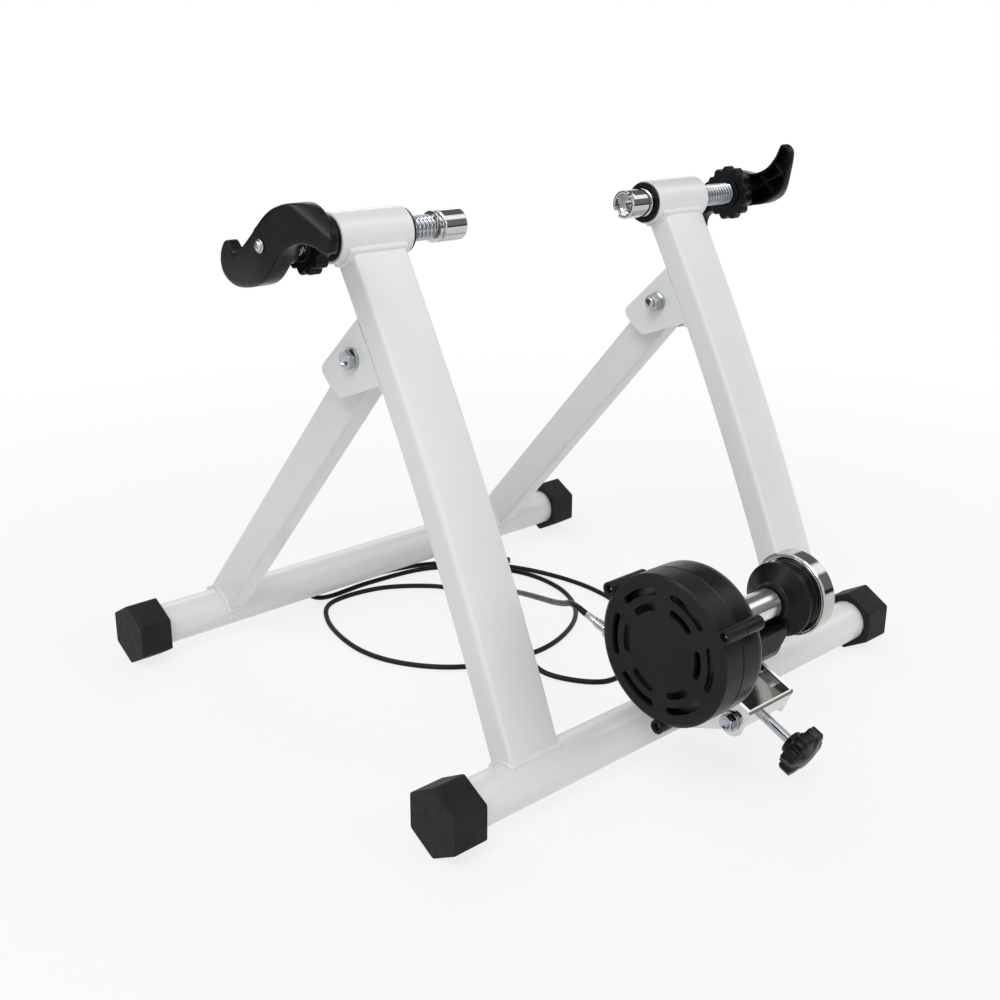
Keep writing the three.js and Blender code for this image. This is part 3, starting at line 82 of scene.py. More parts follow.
# Camera at the photograph's viewing angle

CAMERA_PLACE = (-778.99, -831.56, 550.43)
CAMERA_TURN = (-42.76, 19.25, 0.29)
CAMERA_LENS = 47.235
CAMERA_SHIFT = (-0.0009, -0.0016)


def place_camera():
    azimuth, elevation, roll = (radians(angle) for angle in CAMERA_TURN)
    back = Vector((
        sin(azimuth) * cos(elevation),
        -cos(azimuth) * cos(elevation),
        sin(elevation),
    ))
    right = (-back).cross(Vector((0, 0, 1))).normalized()
    up = right.cross(-back)
    rolled_right = right * cos(roll) + up * sin(roll)
    rolled_up = up * cos(roll) - right * sin(roll)
    data = bpy.data.cameras.new("camera")
    data.sensor_width = 36.0
    data.lens = CAMERA_LENS
    data.shift_x, data.shift_y = CAMERA_SHIFT
    data.clip_start, data.clip_end = 0.05, 60.0
    camera = placed("camera", data)
    matrix = Matrix((rolled_right, rolled_up, back)).transposed().to_4x4()
    matrix.translation = at(*CAMERA_PLACE)
    camera.matrix_world = matrix
    bpy.context.scene.camera = camera


place_camera()
bpy.context.scene.view_settings.view_transform = "Standard"


# Nodes

def set_sockets(node, values):
    """Gives a node's inputs their plain values, or links from other nodes' outputs."""
    for socket, value in values.items():
        if isinstance(value, bpy.types.NodeSocket):
            node.id_data.links.new(value, node.inputs[socket])
        else:
            node.inputs[socket].default_value = value


def add_node(tree, kind, values=None, **settings):
    node = tree.nodes.new(kind)
    for key, value in settings.items():
        setattr(node, key, value)
    set_sockets(node, values or {})
    return node


# Finishes

def new_finish(name, colour, roughness, metallic=0.0):
    """A material and its one shader, whose plain numbers sit on the shader's own sockets."""
    material = bpy.data.materials.new(name)
    material.use_nodes = True
    shader = material.node_tree.nodes["Principled BSDF"]
    set_sockets(shader, {
        "Base Color": (*colour, 1.0), "Roughness": roughness, "Metallic": metallic})
    return material, shader


def object_points(shader, scale=(1.0, 1.0, 1.0)):
    """Object coordinates, stretched by scale."""
    tree = shader.id_data
    points = add_node(tree, "ShaderNodeTexCoord").outputs["Object"]
    mapping = add_node(tree, "ShaderNodeMapping", {"Vector": points, "Scale": scale})
    return mapping.outputs["Vector"]


def noise_on(points, scale, detail=3.0):
    noise = add_node(
        points.id_data, "ShaderNodeTexNoise",
        {"Vector": points, "Scale": scale, "Detail": detail})
    return noise.outputs["Fac"]


def spread(value, low, high):
    """Maps the middle of a texture's values to low..high."""
    reach = add_node(value.id_data, "ShaderNodeMapRange", {
        "Value": value, "From Min": 0.3, "From Max": 0.7, "To Min": low, "To Max": high})
    return reach.outputs["Result"]


def two_tone(shader, factor, first, second):
    mix = add_node(
        shader.id_data, "ShaderNodeMix", {0: factor, 6: (*first, 1.0), 7: (*second, 1.0)},
        data_type="RGBA")
    set_sockets(shader, {"Base Color": mix.outputs[2]})


def relief(shader, height, distance, strength):
    """Bumps of a distance in metres."""
    bump = add_node(shader.id_data, "ShaderNodeBump", {
        "Strength": strength, "Distance": distance, "Height": height})
    set_sockets(shader, {"Normal": bump.outputs["Normal"]})


def powder_paint():
    """White gloss paint with faint orange peel."""
    material, shader = new_finish("white_powder_paint", (0.80, 0.81, 0.795), 0.3)
    points = object_points(shader)
    tone = spread(noise_on(points, 9.0), 0.0, 1.0)
    two_tone(shader, tone, (0.79, 0.80, 0.785), (0.815, 0.825, 0.815))
    relief(shader, noise_on(points, 420.0, 2.0), 0.00004, 0.25)
    set_sockets(shader, {
        "Roughness": spread(noise_on(points, 25.0), 0.27, 0.33),
        "Coat Weight": 0.3,
        "Coat Roughness": 0.1,
    })
    return material


def moulded(name, dark, light, roughness, grain=2400.0, depth=0.00004, sheen=0.16):
    """Moulded plastic or rubber with a fine grain and slight wear in its tone."""
    material, shader = new_finish(name, dark, roughness)
    points = object_points(shader)
    two_tone(shader, spread(noise_on(points, 45.0, 4.0), 0.0, 1.0), dark, light)
    relief(shader, noise_on(points, grain, 2.0), depth, 0.4)
    gloss = spread(noise_on(points, 140.0), roughness - 0.06, roughness + 0.08)
    set_sockets(shader, {"Roughness": gloss, "Specular IOR Level": sheen})
    return material


def plated(
        name, dark, light, roughness, streak=(1.0, 1.0, 1.0), streak_scale=900.0, depth=0.000003):
    """Metal with fine lines along the stretched direction and a slightly uneven tint."""
    material, shader = new_finish(name, light, roughness, 1.0)
    two_tone(shader, spread(noise_on(object_points(shader), 40.0), 0.0, 1.0), dark, light)
    lines = noise_on(object_points(shader, streak), streak_scale, 2.0)
    relief(shader, lines, depth, 0.35)
    gloss = spread(lines, max(roughness - 0.02, 0.02), roughness + 0.03)
    set_sockets(shader, {"Roughness": gloss})
    return material


FINISHES = {
    "white_paint": powder_paint(),
    "black_plastic": moulded(
        "black_moulded_plastic", (0.0055, 0.0055, 0.006), (0.0095, 0.0095, 0.010), 0.27),
    "grey_plastic": moulded(
        "dark_cover_plastic", (0.009, 0.009, 0.0105), (0.014, 0.014, 0.0155), 0.36),
    "black_rubber": moulded(
        "black_foot_rubber", (0.009, 0.009, 0.0095), (0.015, 0.015, 0.015), 0.6,
        grain=1300.0, depth=0.00008, sheen=0.2),
    "zinc": plated("zinc_plate", (0.38, 0.41, 0.44), (0.46, 0.48, 0.50), 0.15),
    "chrome": plated("chrome_plate", (0.50, 0.50, 0.50), (0.56, 0.56, 0.56), 0.06),
    "brushed_steel": plated(
        "turned_roller_steel", (0.66, 0.66, 0.64), (0.76, 0.76, 0.74), 0.2,
        streak=(1.0, 0.02, 0.02), streak_scale=2600.0, depth=0.00002),
    "bright_plate": plated("bright_nickel_plate", (0.60, 0.60, 0.58), (0.66, 0.66, 0.64), 0.13),
    "aluminium": plated("bare_aluminium", (0.52, 0.53, 0.54), (0.60, 0.61, 0.62), 0.22),
    "cable_sheath": moulded(
        "black_cable_sheath", (0.006, 0.006, 0.0065), (0.010, 0.010, 0.0105), 0.34, grain=1500.0),
}
# Brake disc behind the vents: aluminium darkened almost to black, as painted shade for the inside
# of the housing
DISC_FACE_PAINTED_SHADE = plated("disc_aluminium_painted_shade", (0.09, 0.09, 0.095), (0.12, 0.12, 0.125), 0.42)
FLYWHEEL_FACE = plated("turned_flywheel_plate", (0.48, 0.48, 0.46), (0.54, 0.54, 0.52), 0.09)


# A form is a pair: its points in millimetres and its faces

def mesh_of(name, form, edges=()):
    mesh = bpy.data.meshes.new(name)
    mesh.from_pydata([tuple(at(*point)) for point in form[0]], edges, form[1])
    return mesh


def reworked(mesh, job, kept=None):
    """Does a job on a mesh's vertices and faces, and keeps the result in it or in another mesh."""
    work = bmesh.new()
    work.from_mesh(mesh)
    job(work)
    work.to_mesh(kept or mesh)
    work.free()
    return kept or mesh


def faced_outward(mesh):
    return reworked(mesh, lambda work: bmesh.ops.recalc_face_normals(work, faces=work.faces))


def shaded(mesh, crease):
    """Smooth shading with sharp edges where the faces turn by more than crease degrees."""
    mesh.polygons.foreach_set("use_smooth", [True] * len(mesh.polygons))
    mesh.set_sharp_from_angle(angle=radians(crease))


def dressed(name, mesh, slot, body, crease, node=None):
    """A visible piece of a body, in the finish of its slot, which may stand for a CAD node."""
    shaded(faced_outward(mesh), crease)
    mesh.materials.clear()
    mesh.materials.append(FINISHES[slot])
    piece = placed(name, mesh)
    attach(piece, body)
    if node:
        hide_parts(node)
    return piece


def finished(name, form, slot, body, crease=35.0, node=None):
    mesh = mesh_of(name, form)
    mesh.validate()
    return dressed(name, mesh, slot, body, crease, node)


def settle(piece):
    """Turns a piece's live modifiers into plain mesh."""
    graph = bpy.context.evaluated_depsgraph_get()
    mesh = bpy.data.meshes.new_from_object(piece.evaluated_get(graph))
    mesh.name = piece.name
    piece.modifiers.clear()
    piece.data = mesh
    return piece


def flattened(piece):
    """Keeps the shading of long faces straight up to their rounded edges."""
    weigh = piece.modifiers.new("weigh", "WEIGHTED_NORMAL")
    weigh.keep_sharp = True
    return settle(piece)


def rounded(piece, width, segments=2, angle=32.0):
    """Rounds a piece's sharp edges by a width in millimetres."""
    bevel = piece.modifiers.new("edge", "BEVEL")
    bevel.width = width * MM
    bevel.segments = segments
    bevel.limit_method = "ANGLE"
    bevel.angle_limit = radians(angle)
    shaded(settle(piece).data, 60)
    return flattened(piece)


def tool(form):
    """A closed mesh that only cuts."""
    return placed("cutter", faced_outward(mesh_of("cutter", form)))


def carved(piece, cutters):
    """Cuts other meshes out of a piece, and removes them."""
    for cutter in cutters:
        step = piece.modifiers.new("carve", "BOOLEAN")
        step.operation = "DIFFERENCE"
        step.solver = "EXACT"
        step.object = cutter
    settle(piece)
    for cutter in cutters:
        bpy.data.objects.remove(cutter, do_unlink=True)
    shaded(piece.data, 35)
    return flattened(piece)


# Forms

def angles(count):
    """Even steps round a circle."""
    return [2 * pi * i / count for i in range(count)]


def polar(radius, angle):
    return radius * cos(angle), radius * sin(angle)


def bands(rows, count):
    """Faces between rows of points, where each row closes on itself."""
    return [
        (j * count + i, j * count + k, (j + 1) * count + k, (j + 1) * count + i)
        for j in range(rows - 1) for i, k in zip(range(count), [*range(1, count), 0])]


def capped(rows, count):
    """The same faces, with one more over each end."""
    last = (rows - 1) * count
    ends = [tuple(range(count))[::-1], tuple(range(last, last + count))]
    return bands(rows, count) + ends


def ringed(rows, sides, frame_of, bend=None, closed=False):
    """A form of rings about an axis, where a row of no radius is a single point.

    Each row is a place along the axis and a radius, which bend may change from angle to angle,
    and frame_of(along, across, up) gives millimetres.
    """
    points, rings = [], []
    for row in rows:
        ring = angles(sides) if row[1] > 0 else [0.0]
        rings.append(range(len(points), len(points) + len(ring)))
        for angle in ring:
            along, radius = bend(*row, angle) if bend else row
            points.append(frame_of(along, *polar(radius, angle)))
    faces = []
    for first, second in zip(rings, rings[1:] + (rings[:1] if closed else [])):
        for i, k in zip(range(sides), [*range(1, sides), 0]):
            if len(first) == 1:
                faces.append((first[0], second[i], second[k]))
            elif len(second) == 1:
                faces.append((first[i], second[0], first[k]))
            else:
                faces.append((first[i], second[i], second[k], first[k]))
    return points, faces


def about(centre):
    """The frame of an axis along X through a (y, z) centre."""
    return lambda along, across, up: (along, centre[0] + across, centre[1] + up)


def circles(rows, sides, frame_of):
    """Points of a circle for each row of (place, radius)."""
    return [
        frame_of(place, *polar(radius, angle)) for place, radius in rows for angle in angles(sides)]


def lathe(profile, centre, sides=96):
    """A form turned about X from its profile of (x, radius)."""
    closed = profile[0] == profile[-1]
    return ringed(profile[:-1] if closed else profile, sides, about(centre), closed=closed)


def soft_profile(profile, radius, steps=3):
    """Rounds the corners of a turned profile."""
    closed = profile[0] == profile[-1]
    core = profile[:-1] if closed else profile
    out = []
    for i, here in enumerate(core):
        before, after = Vector(core[i - 1]), Vector(core[(i + 1) % len(core)])
        point = Vector(here)
        back, forth = before - point, after - point
        reach = min(radius, back.length * 0.45, forth.length * 0.45)
        at_end = not closed and i in (0, len(core) - 1)
        if at_end or here[1] <= 0 or reach < 1e-6 or abs(back.angle(forth) - pi) < 0.05:
            out.append(here)
            continue
        start, finish = point + back.normalized() * reach, point + forth.normalized() * reach
        for k in range(steps + 1):
            t = k / steps
            p = start * (1 - t) ** 2 + point * 2 * t * (1 - t) + finish * t ** 2
            out.append((p.x, p.y))
    return out + out[:1] if closed else out


def turned(name, profile, centre, slot, body, soften=0.6, sides=96, node=None):
    form = lathe(soft_profile(profile, soften), centre, sides)
    return flattened(finished(name, form, slot, body, 40.0, node))


def offset(start, side, rows):
    """A profile from rows of (distance from start, radius), towards that side."""
    return [(start + side * distance, radius) for distance, radius in rows]


def ring_profile(start, end, radius, bore):
    """Profile of a plain ring or tube."""
    return [(start, radius), (end, radius), (end, bore), (start, bore), (start, radius)]


def prism(outline, start, end, to_space=lambda a, b, c: (c, a, b)):
    """A form of an outline pushed from start to end, along X unless told otherwise."""
    points = [to_space(a, b, c) for c in (start, end) for a, b in outline]
    return points, capped(2, len(outline))


def from_solid(name, node, slot, body, round_by, segments=2, edge_angle=32.0, shape=None):
    """A copy of a CAD node with its flats merged and its edges rounded, shown in its place."""
    def job(work):
        bmesh.ops.remove_doubles(work, verts=work.verts, dist=0.00001)
        bmesh.ops.dissolve_limit(
            work, angle_limit=radians(0.4), verts=work.verts, edges=work.edges)
        if shape:
            shape(work)

    mesh = reworked(frame["nodes"][node].data, job, bpy.data.meshes.new(name))
    rounded(dressed(name, mesh, slot, body, 50.0, node), round_by, segments, edge_angle)


# Control cable first, along the same route as its solid

CABLE_ROUTE = [
    (-100, -195.2, 131.9), (-99.4, -186, 134.2), (-95, -174, 132.5), (-84, -155, 123),
    (-63, -122, 107.5), (-38, -78, 90), (-11, -26, 70), (14, 27, 48), (34, 79, 26), (45, 122, 9.5),
    (38, 159, 4), (-6, 194, 2.8), (-66, 196, 2.8), (-94, 162, 2.8), (-110, 87, 2.8), (-96, 36, 2.8),
    (-58, -6, 2.8), (12, -27, 2.8), (67, -14, 2.8), (110, 17, 2.8), (137, 70, 2.8), (133, 134, 2.8),
    (74, 199, 2.8), (-2, 213, 2.8), (-56, 211.5, 2.8), (-66, 215, 2.8), (-70, 223.5, 2.8),
    (-66, 232, 2.8), (-56, 235.5, 2.8), (0, 231, 2.8), (82, 208, 2.8), (141, 140, 2.8),
    (161, 45, 2.8), (137, -38, 2.8), (72, -100, 2.8), (16, -113, 2.8), (-14, -66, 3.6),
    (-4, -26, 8.4), (50, 60, 3.2), (87.4, 108.3, 8.6),
]
CABLE_RADIUS = 2.5


def between(a, b, start, end, t):
    return a * (end - t) / (end - start) + b * (t - start) / (end - start)


def centripetal(points, steps):
    """Samples the smooth curve that runs through the points."""
    knots = [Vector(p) for p in points]
    knots = [knots[0] * 2 - knots[1]] + knots + [knots[-1] * 2 - knots[-2]]
    line = []
    for i in range(1, len(knots) - 2):
        a, b, c, d = knots[i - 1:i + 3]
        t0 = 0.0
        t1 = t0 + sqrt((b - a).length)
        t2 = t1 + sqrt((c - b).length)
        t3 = t2 + sqrt((d - c).length)
        for k in range(steps):
            t = t1 + (t2 - t1) * k / steps
            middle = between(b, c, t1, t2, t)
            first = between(between(a, b, t0, t1, t), middle, t0, t2, t)
            last = between(middle, between(c, d, t2, t3, t), t1, t3, t)
            line.append(between(first, last, t1, t2, t))
    line.append(knots[-2])
    return line


def tube(line, radius, sides):
    """A form of a round tube along a line, with closed ends."""
    points = []
    normal = Vector((0, 0, 1))
    for i, point in enumerate(line):
        tangent = (line[min(i + 1, len(line) - 1)] - line[max(i - 1, 0)]).normalized()
        normal = (normal - tangent * normal.dot(tangent)).normalized()
        side = tangent.cross(normal)
        points += [
            point + normal * radius * cos(angle) + side * radius * sin(angle)
            for angle in angles(sides)]
    return points, capped(len(line), sides)


def control_cable():
    line = centripetal(CABLE_ROUTE, 18)
    piece = finished(
        "cable_sheath_run", tube(line, CABLE_RADIUS, 14), "cable_sheath", "frame",
        node="control_cable")


control_cable()


# Weld beads

def weld_tree():
    """Geometry Nodes tree that lays overlapping ripples along a line, and its sockets' names."""
    tree = bpy.data.node_groups.new("weld_ripples", "GeometryNodeTree")
    tree.interface.new_socket("Geometry", in_out="INPUT", socket_type="NodeSocketGeometry")
    keys = [
        tree.interface.new_socket(title, in_out="INPUT", socket_type=kind).identifier
        for title, kind in (
            ("Ripple Spacing", "NodeSocketFloat"),
            ("Bead Radius", "NodeSocketFloat"),
            ("Finish", "NodeSocketMaterial"),
        )]
    tree.interface.new_socket("Geometry", in_out="OUTPUT", socket_type="NodeSocketGeometry")
    given = add_node(tree, "NodeGroupInput").outputs
    curve = add_node(tree, "GeometryNodeMeshToCurve", {"Mesh": given["Geometry"]})
    steps = add_node(tree, "GeometryNodeResampleCurve", {
        "Curve": curve.outputs["Curve"], "Length": given["Ripple Spacing"]}, mode="LENGTH")
    ball = add_node(tree, "GeometryNodeMeshIcoSphere", {
        "Subdivisions": 2, "Radius": given["Bead Radius"]})
    jitter = add_node(
        tree, "FunctionNodeRandomValue", {2: 0.94, 3: 1.07, "Seed": 7}, data_type="FLOAT")
    beads = add_node(tree, "GeometryNodeInstanceOnPoints", {
        "Points": steps.outputs["Curve"],
        "Instance": ball.outputs["Mesh"],
        "Scale": jitter.outputs[1],
    })
    whole = add_node(
        tree, "GeometryNodeRealizeInstances", {"Geometry": beads.outputs["Instances"]})
    smooth = add_node(
        tree, "GeometryNodeSetShadeSmooth", {"Geometry": whole.outputs["Geometry"]})
    paint = add_node(tree, "GeometryNodeSetMaterial", {
        "Geometry": smooth.outputs["Geometry"], "Material": given["Finish"]})
    add_node(tree, "NodeGroupOutput", {"Geometry": paint.outputs["Geometry"]})
    return tree, keys


WELD_TREE, WELD_KEYS = weld_tree()


def weld(name, path, body, radius, spacing):
    """A painted weld bead along a path of millimetre points."""
    edges = [(i, i + 1) for i in range(len(path) - 1)]
    piece = placed(name, mesh_of(name, (path, []), edges))
    step = piece.modifiers.new("ripples", "NODES")
    step.node_group = WELD_TREE
    for key, value in zip(WELD_KEYS, (spacing * MM, radius * MM, FINISHES["white_paint"])):
        step[key] = value
    settle(piece)
    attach(piece, body)


# Ground bars and feet

BAR_WALL = 1.6


def ground_bar(node, half, y, body):
    profile = ring_profile(-half, half, BAR_RADIUS, BAR_RADIUS - BAR_WALL)
    turned(node + "_tube", profile, (y, BAR_HEIGHT), "white_paint", body, 0.4, node=node)


ground_bar("ground_bar_front", 268.2, FRONT_Y, "frame")
ground_bar("ground_bar_rear", 276.7, REAR_Y, "rear_legs")
for row_name, rider in (("front", "frame"), ("rear", "rear_legs")):
    for side_name, _ in SIDES:
        foot = f"foot_{row_name}_{side_name}"
        from_solid(foot + "_cap", foot, "black_rubber", rider, 1.6, 3, edge_angle=25.0)

# Uprights, sleeves and bushings

UPRIGHT_FOOT = Vector((FRONT_Y, BAR_HEIGHT))
UPRIGHT_HEAD = Vector(AXLE)
UPRIGHT_BEND = (UPRIGHT_FOOT + UPRIGHT_HEAD) / 2 + Vector((-19.8, 0))
UPRIGHT_SPAN = (0.03, 0.965)
UPRIGHT_STEPS = 40
UPRIGHT_WIDTH, UPRIGHT_DEPTH, UPRIGHT_CORNER = 51.0, 24.5, 4.0
UPRIGHT_WELD_LINE = (24.6, 11.4)


def upright_point(t):
    return UPRIGHT_FOOT * (1 - t) ** 2 + UPRIGHT_BEND * 2 * t * (1 - t) + UPRIGHT_HEAD * t ** 2


def upright_slope(t):
    run = (UPRIGHT_BEND - UPRIGHT_FOOT) * (1 - t) + (UPRIGHT_HEAD - UPRIGHT_BEND) * t
    return run.normalized()


def box_section(width, depth, radius, steps=5):
    points = []
    for cx, cy, turn in ((1, 1, 0), (-1, 1, 1), (-1, -1, 2), (1, -1, 3)):
        for k in range(steps + 1):
            angle = pi / 2 * (turn + k / steps)
            points.append((
                cx * (width / 2 - radius) + radius * cos(angle),
                cy * (depth / 2 - radius) + radius * sin(angle),
            ))
    return points


def saddle_path(x, centre, radius, point, slope, half_width, half_depth, lift=0.4):
    """The closed line where a box tube of that half size meets a round tube along X."""
    corners = []
    steps = 14
    for a0, b0, a1, b1 in ((-1, -1, 1, -1), (1, -1, 1, 1), (1, 1, -1, 1), (-1, 1, -1, -1)):
        for k in range(steps):
            t = k / steps
            corners.append(((a0 + (a1 - a0) * t) * half_width, (b0 + (b1 - b0) * t) * half_depth))
    corners.append(corners[0])
    along = Vector(slope)
    across = Vector((-slope.y, slope.x))
    path = []
    for a, b in corners:
        origin = Vector(point) + across * b - Vector(centre)
        half_b = origin.dot(along)
        rest = origin.length_squared - (radius + lift) ** 2
        root = sqrt(max(half_b ** 2 - rest, 0.0))
        spot = origin + along * (-half_b + root) + Vector(centre)
        path.append((x + a, spot.x, spot.y))
    return path


def upright(side_name, x):
    low, high = UPRIGHT_SPAN
    section = box_section(UPRIGHT_WIDTH, UPRIGHT_DEPTH, UPRIGHT_CORNER)
    points = []
    for i in range(UPRIGHT_STEPS + 1):
        t = low + (high - low) * i / UPRIGHT_STEPS
        slope = upright_slope(t)
        for a, b in section:
            spot = upright_point(t) + Vector((-slope.y, slope.x)) * b
            points.append((x + a, spot.x, spot.y))
    finished(
        "upright_tube_" + side_name, (points, capped(UPRIGHT_STEPS + 1, len(section))),
        "white_paint", "frame", 40.0, "upright_" + side_name)
    foot = saddle_path(
        x, (FRONT_Y, BAR_HEIGHT), BAR_RADIUS, upright_point(0.0), upright_slope(0.05),
        *UPRIGHT_WELD_LINE)
    weld("upright_foot_weld_" + side_name, foot, "frame", 2.8, 1.5)
    head = saddle_path(
        x, AXLE, SLEEVE_RADIUS, upright_point(1.0), -upright_slope(0.95), *UPRIGHT_WELD_LINE)
    weld("upright_head_weld_" + side_name, head, "frame", 3.1, 1.6)


SLEEVE_HALF = 33.65
SLEEVE_BORE = 16.5


def bushing(side_name, end_name, face, outward):
    """Stepped ring, whose flange stands out of the sleeve's end."""
    inner = end_name == "inner"
    seat = face + outward * 0.3
    front = seat + outward * (2.4 if inner else 1.0)
    rim = 17.9 if inner else 16.8
    steps = [
        (0.0, rim), (0.0, rim - 1.1), (0.6, rim - 1.4), (0.6, 15.2), (0.1, 15.0), (0.1, 14.0),
        (1.6, 13.7), (1.6, 12.6), (5, 12.4), (5, 10.5),
    ]
    root = face - outward * 14
    profile = [
        (seat, rim), *offset(front, -outward, steps),
        (root, 10.5), (root, 16.2), (seat, 16.2), (seat, rim),
    ]
    node = f"bushing_{side_name}_{end_name}"
    turned(node + "_ring", profile, AXLE, "black_plastic", "frame", 0.35, node=node)


def sleeve(side_name, side):
    x = side * SIDE_X
    profile = ring_profile(x - SLEEVE_HALF, x + SLEEVE_HALF, SLEEVE_RADIUS, SLEEVE_BORE)
    node = "sleeve_" + side_name
    turned("axle_" + node, profile, AXLE, "white_paint", "frame", 1.0, node=node)
    for end_name, outward in (("outer", side), ("inner", -side)):
        bushing(side_name, end_name, x + outward * SLEEVE_HALF, outward)


for side_name, side in SIDES:
    upright(side_name, side * SIDE_X)
    sleeve(side_name, side)
    bracket = "hinge_bracket_" + side_name
    from_solid("hinge_plate_" + side_name, bracket, "white_paint", "frame", 0.7)

# Rear legs

LEG_FOOT = (217.0, BAR_HEIGHT + 3)
LEG_WELD_LINE = (9.6, 17.0)


def leg(side_name, x):
    from_solid("leg_tube_" + side_name, "leg_" + side_name, "white_paint", "rear_legs", 0.8)
    run = (Vector(LEG_FOOT) - Vector(HINGE)).normalized()
    path = saddle_path(x, (REAR_Y, BAR_HEIGHT), BAR_RADIUS, LEG_FOOT, -run, *LEG_WELD_LINE)
    weld("leg_foot_weld_" + side_name, path, "rear_legs", 2.6, 1.5)


for side_name, side in SIDES:
    leg(side_name, side * SIDE_X)


# Fasteners

def hexagon(name, radius, chamfer, start, end, centre, dish=0.0, node=None):
    """A zinc six-sided head along X, its corners turned off at its end and dished if asked."""
    flat = radius * cos(pi / 6)
    flip = copysign(1.0, end - start)
    rows = [
        (start, 0.0), (start, radius), (end - flip * chamfer, radius),
        (end - flip * chamfer * 0.45, radius * 0.965), (end, radius * 0.9),
    ]
    if dish:
        rows += [
            (end, radius * 0.68), (end - flip * dish * 0.5, radius * 0.6),
            (end - flip * dish, radius * 0.4),
        ]
    rows.append((rows[-1][0], 0.0))

    def bend(along, limit, angle):
        return along, min(flat / cos((angle + pi / 6) % (pi / 3) - pi / 6), limit)

    finished(name, ringed(rows, 48, about(centre), bend), "zinc", "frame", 30.0, node)


def thread_surface(start, end, radius, pitch, depth, sides, rows_per_turn, frame_of):
    """A form of a threaded rod along its own axis."""
    rows = max(2, int(abs((end - start) / pitch) * rows_per_turn))
    points = []
    for j in range(rows + 1):
        along = start + (end - start) * j / rows
        run_out = min(1.0, min(j, rows - j) / rows_per_turn * 1.6)
        for i, angle in enumerate(angles(sides)):
            wave = abs(2 * ((along / pitch - i / sides) % 1.0) - 1)
            crest = min(1.0, max(0.0, (wave - 0.34) / 0.4))
            crest = crest * crest * (3 - 2 * crest)
            r = radius - depth * (1 - crest) - depth * 0.5 * (1 - run_out)
            points.append(frame_of(along, *polar(r, angle)))
    return points, capped(rows + 1, sides)


def cross_recess(screw, centre, arm, turn, near, far):
    """Cuts a cross into a screw's head; arm is half its length and half its width."""
    length, width = arm
    cutters = []
    for angle in (turn, turn + pi / 2):
        c, s = cos(angle), sin(angle)
        corners = [(-length, -width), (length, -width), (length, width), (-length, width)]
        spun = [
            (centre[0] + a * c - b * s, centre[1] + a * s + b * c) for a, b in corners]
        cutters.append(tool(prism(spun, near, far)))
    carved(screw, cutters)


BRACKET_HALF = 25.5
HINGE_GAP = 0.3
HINGE_WASHER = 1.6
HINGE_HEAD = 5.6
HINGE_NUT = 8


def hinge_fasteners(side_name, side):
    outer = side * (SIDE_X + BRACKET_HALF + HINGE_GAP)
    inner = side * (SIDE_X - BRACKET_HALF - HINGE_GAP)
    washer = side * HINGE_WASHER
    seat = outer + washer
    hexagon(
        "hinge_bolt_head_" + side_name, 7.6, 1.4, seat, seat + side * HINGE_HEAD, HINGE, 1.6,
        "hinge_bolt_" + side_name)
    for end_name, face in (("outer", outer), ("inner", inner - washer)):
        profile = ring_profile(face, face + washer, 8.8, 4.0)
        turned(f"hinge_washer_{side_name}_{end_name}", profile, HINGE, "zinc", "frame", 0.4)
    nut_start = inner - washer
    nut_end = nut_start - side * HINGE_NUT
    hexagon(
        "hinge_nut_hex_" + side_name, 8.3, 1.4, nut_start, nut_end, HINGE,
        node="hinge_nut_" + side_name)
    collar = offset(nut_end, side, ((0.4, 0.0), (0.4, 6.8), (-1.0, 6.2), (-1.0, 0.0)))
    turned("hinge_nut_collar_" + side_name, collar, HINGE, "zinc", "frame", 0.4)
    ends = sorted((outer, nut_end - side * 3))
    thread = thread_surface(*ends, 5.0, 1.5, 0.8, 28, 8, about(HINGE))
    finished("hinge_bolt_thread_" + side_name, thread, "zinc", "frame", 60.0)


for side_name, side in SIDES:
    hinge_fasteners(side_name, side)


# Axle clamps: distances from the middle of the stand to each cup's and lock nut's face
CUP_FACES = {"left": 83.0, "right": 113.0}
NUT_FACES = {"left": 223.0, "right": 260.0}
CUP_SLOTS = {"left": radians(80), "right": radians(137)}
CLAMP_LENGTH = 185.5
ROD_RADIUS, THREAD_PITCH, THREAD_DEPTH = 10.0, 4.0, 1.9
CUP_ROOT = 28.0

# Rows of the cup: distance from its face, and radius
CUP_ROWS = [
    (CUP_ROOT, 0.0), (CUP_ROOT, 11.8), (27.6, 12.4), (27.2, 12.5), (25.8, 12.5), (25.4, 12.1),
    (24.9, 10.7), (23.2, 10.7), (22.6, 12.2), (22.0, 12.6), (21.4, 12.7), (5.6, 12.7),
    (1.5, 12.7), (1.0, 12.7), (0.4, 12.5), (0.0, 11.9), (0.0, 10.5), (0.3, 9.9), (1.0, 9.6),
    (5.6, 9.6), (9.0, 9.6), (9.2, 9.2), (9.2, 6.4), (9.5, 5.7), (10.1, 5.5), (17.0, 5.5),
    (17.0, 0.0),
]
# Rows nearer to the face than the reach sink into the slot
SLOT_REACH, SLOT_HALF, SLOT_DEPTH, SLOT_EDGE = 2.0, 3.1, 3.9, 0.3


def axle_rod(side_name, side, cup_face):
    start = side * (cup_face + CUP_ROOT + 0.3)
    end = side * (cup_face + CLAMP_LENGTH - 6.3)
    thread = thread_surface(
        start, end, ROD_RADIUS, THREAD_PITCH, THREAD_DEPTH, 64, 14, about(AXLE))
    finished(
        "clamp_thread_" + side_name, thread, "zinc", "clamp_" + side_name, 60.0,
        "clamp_rod_" + side_name)


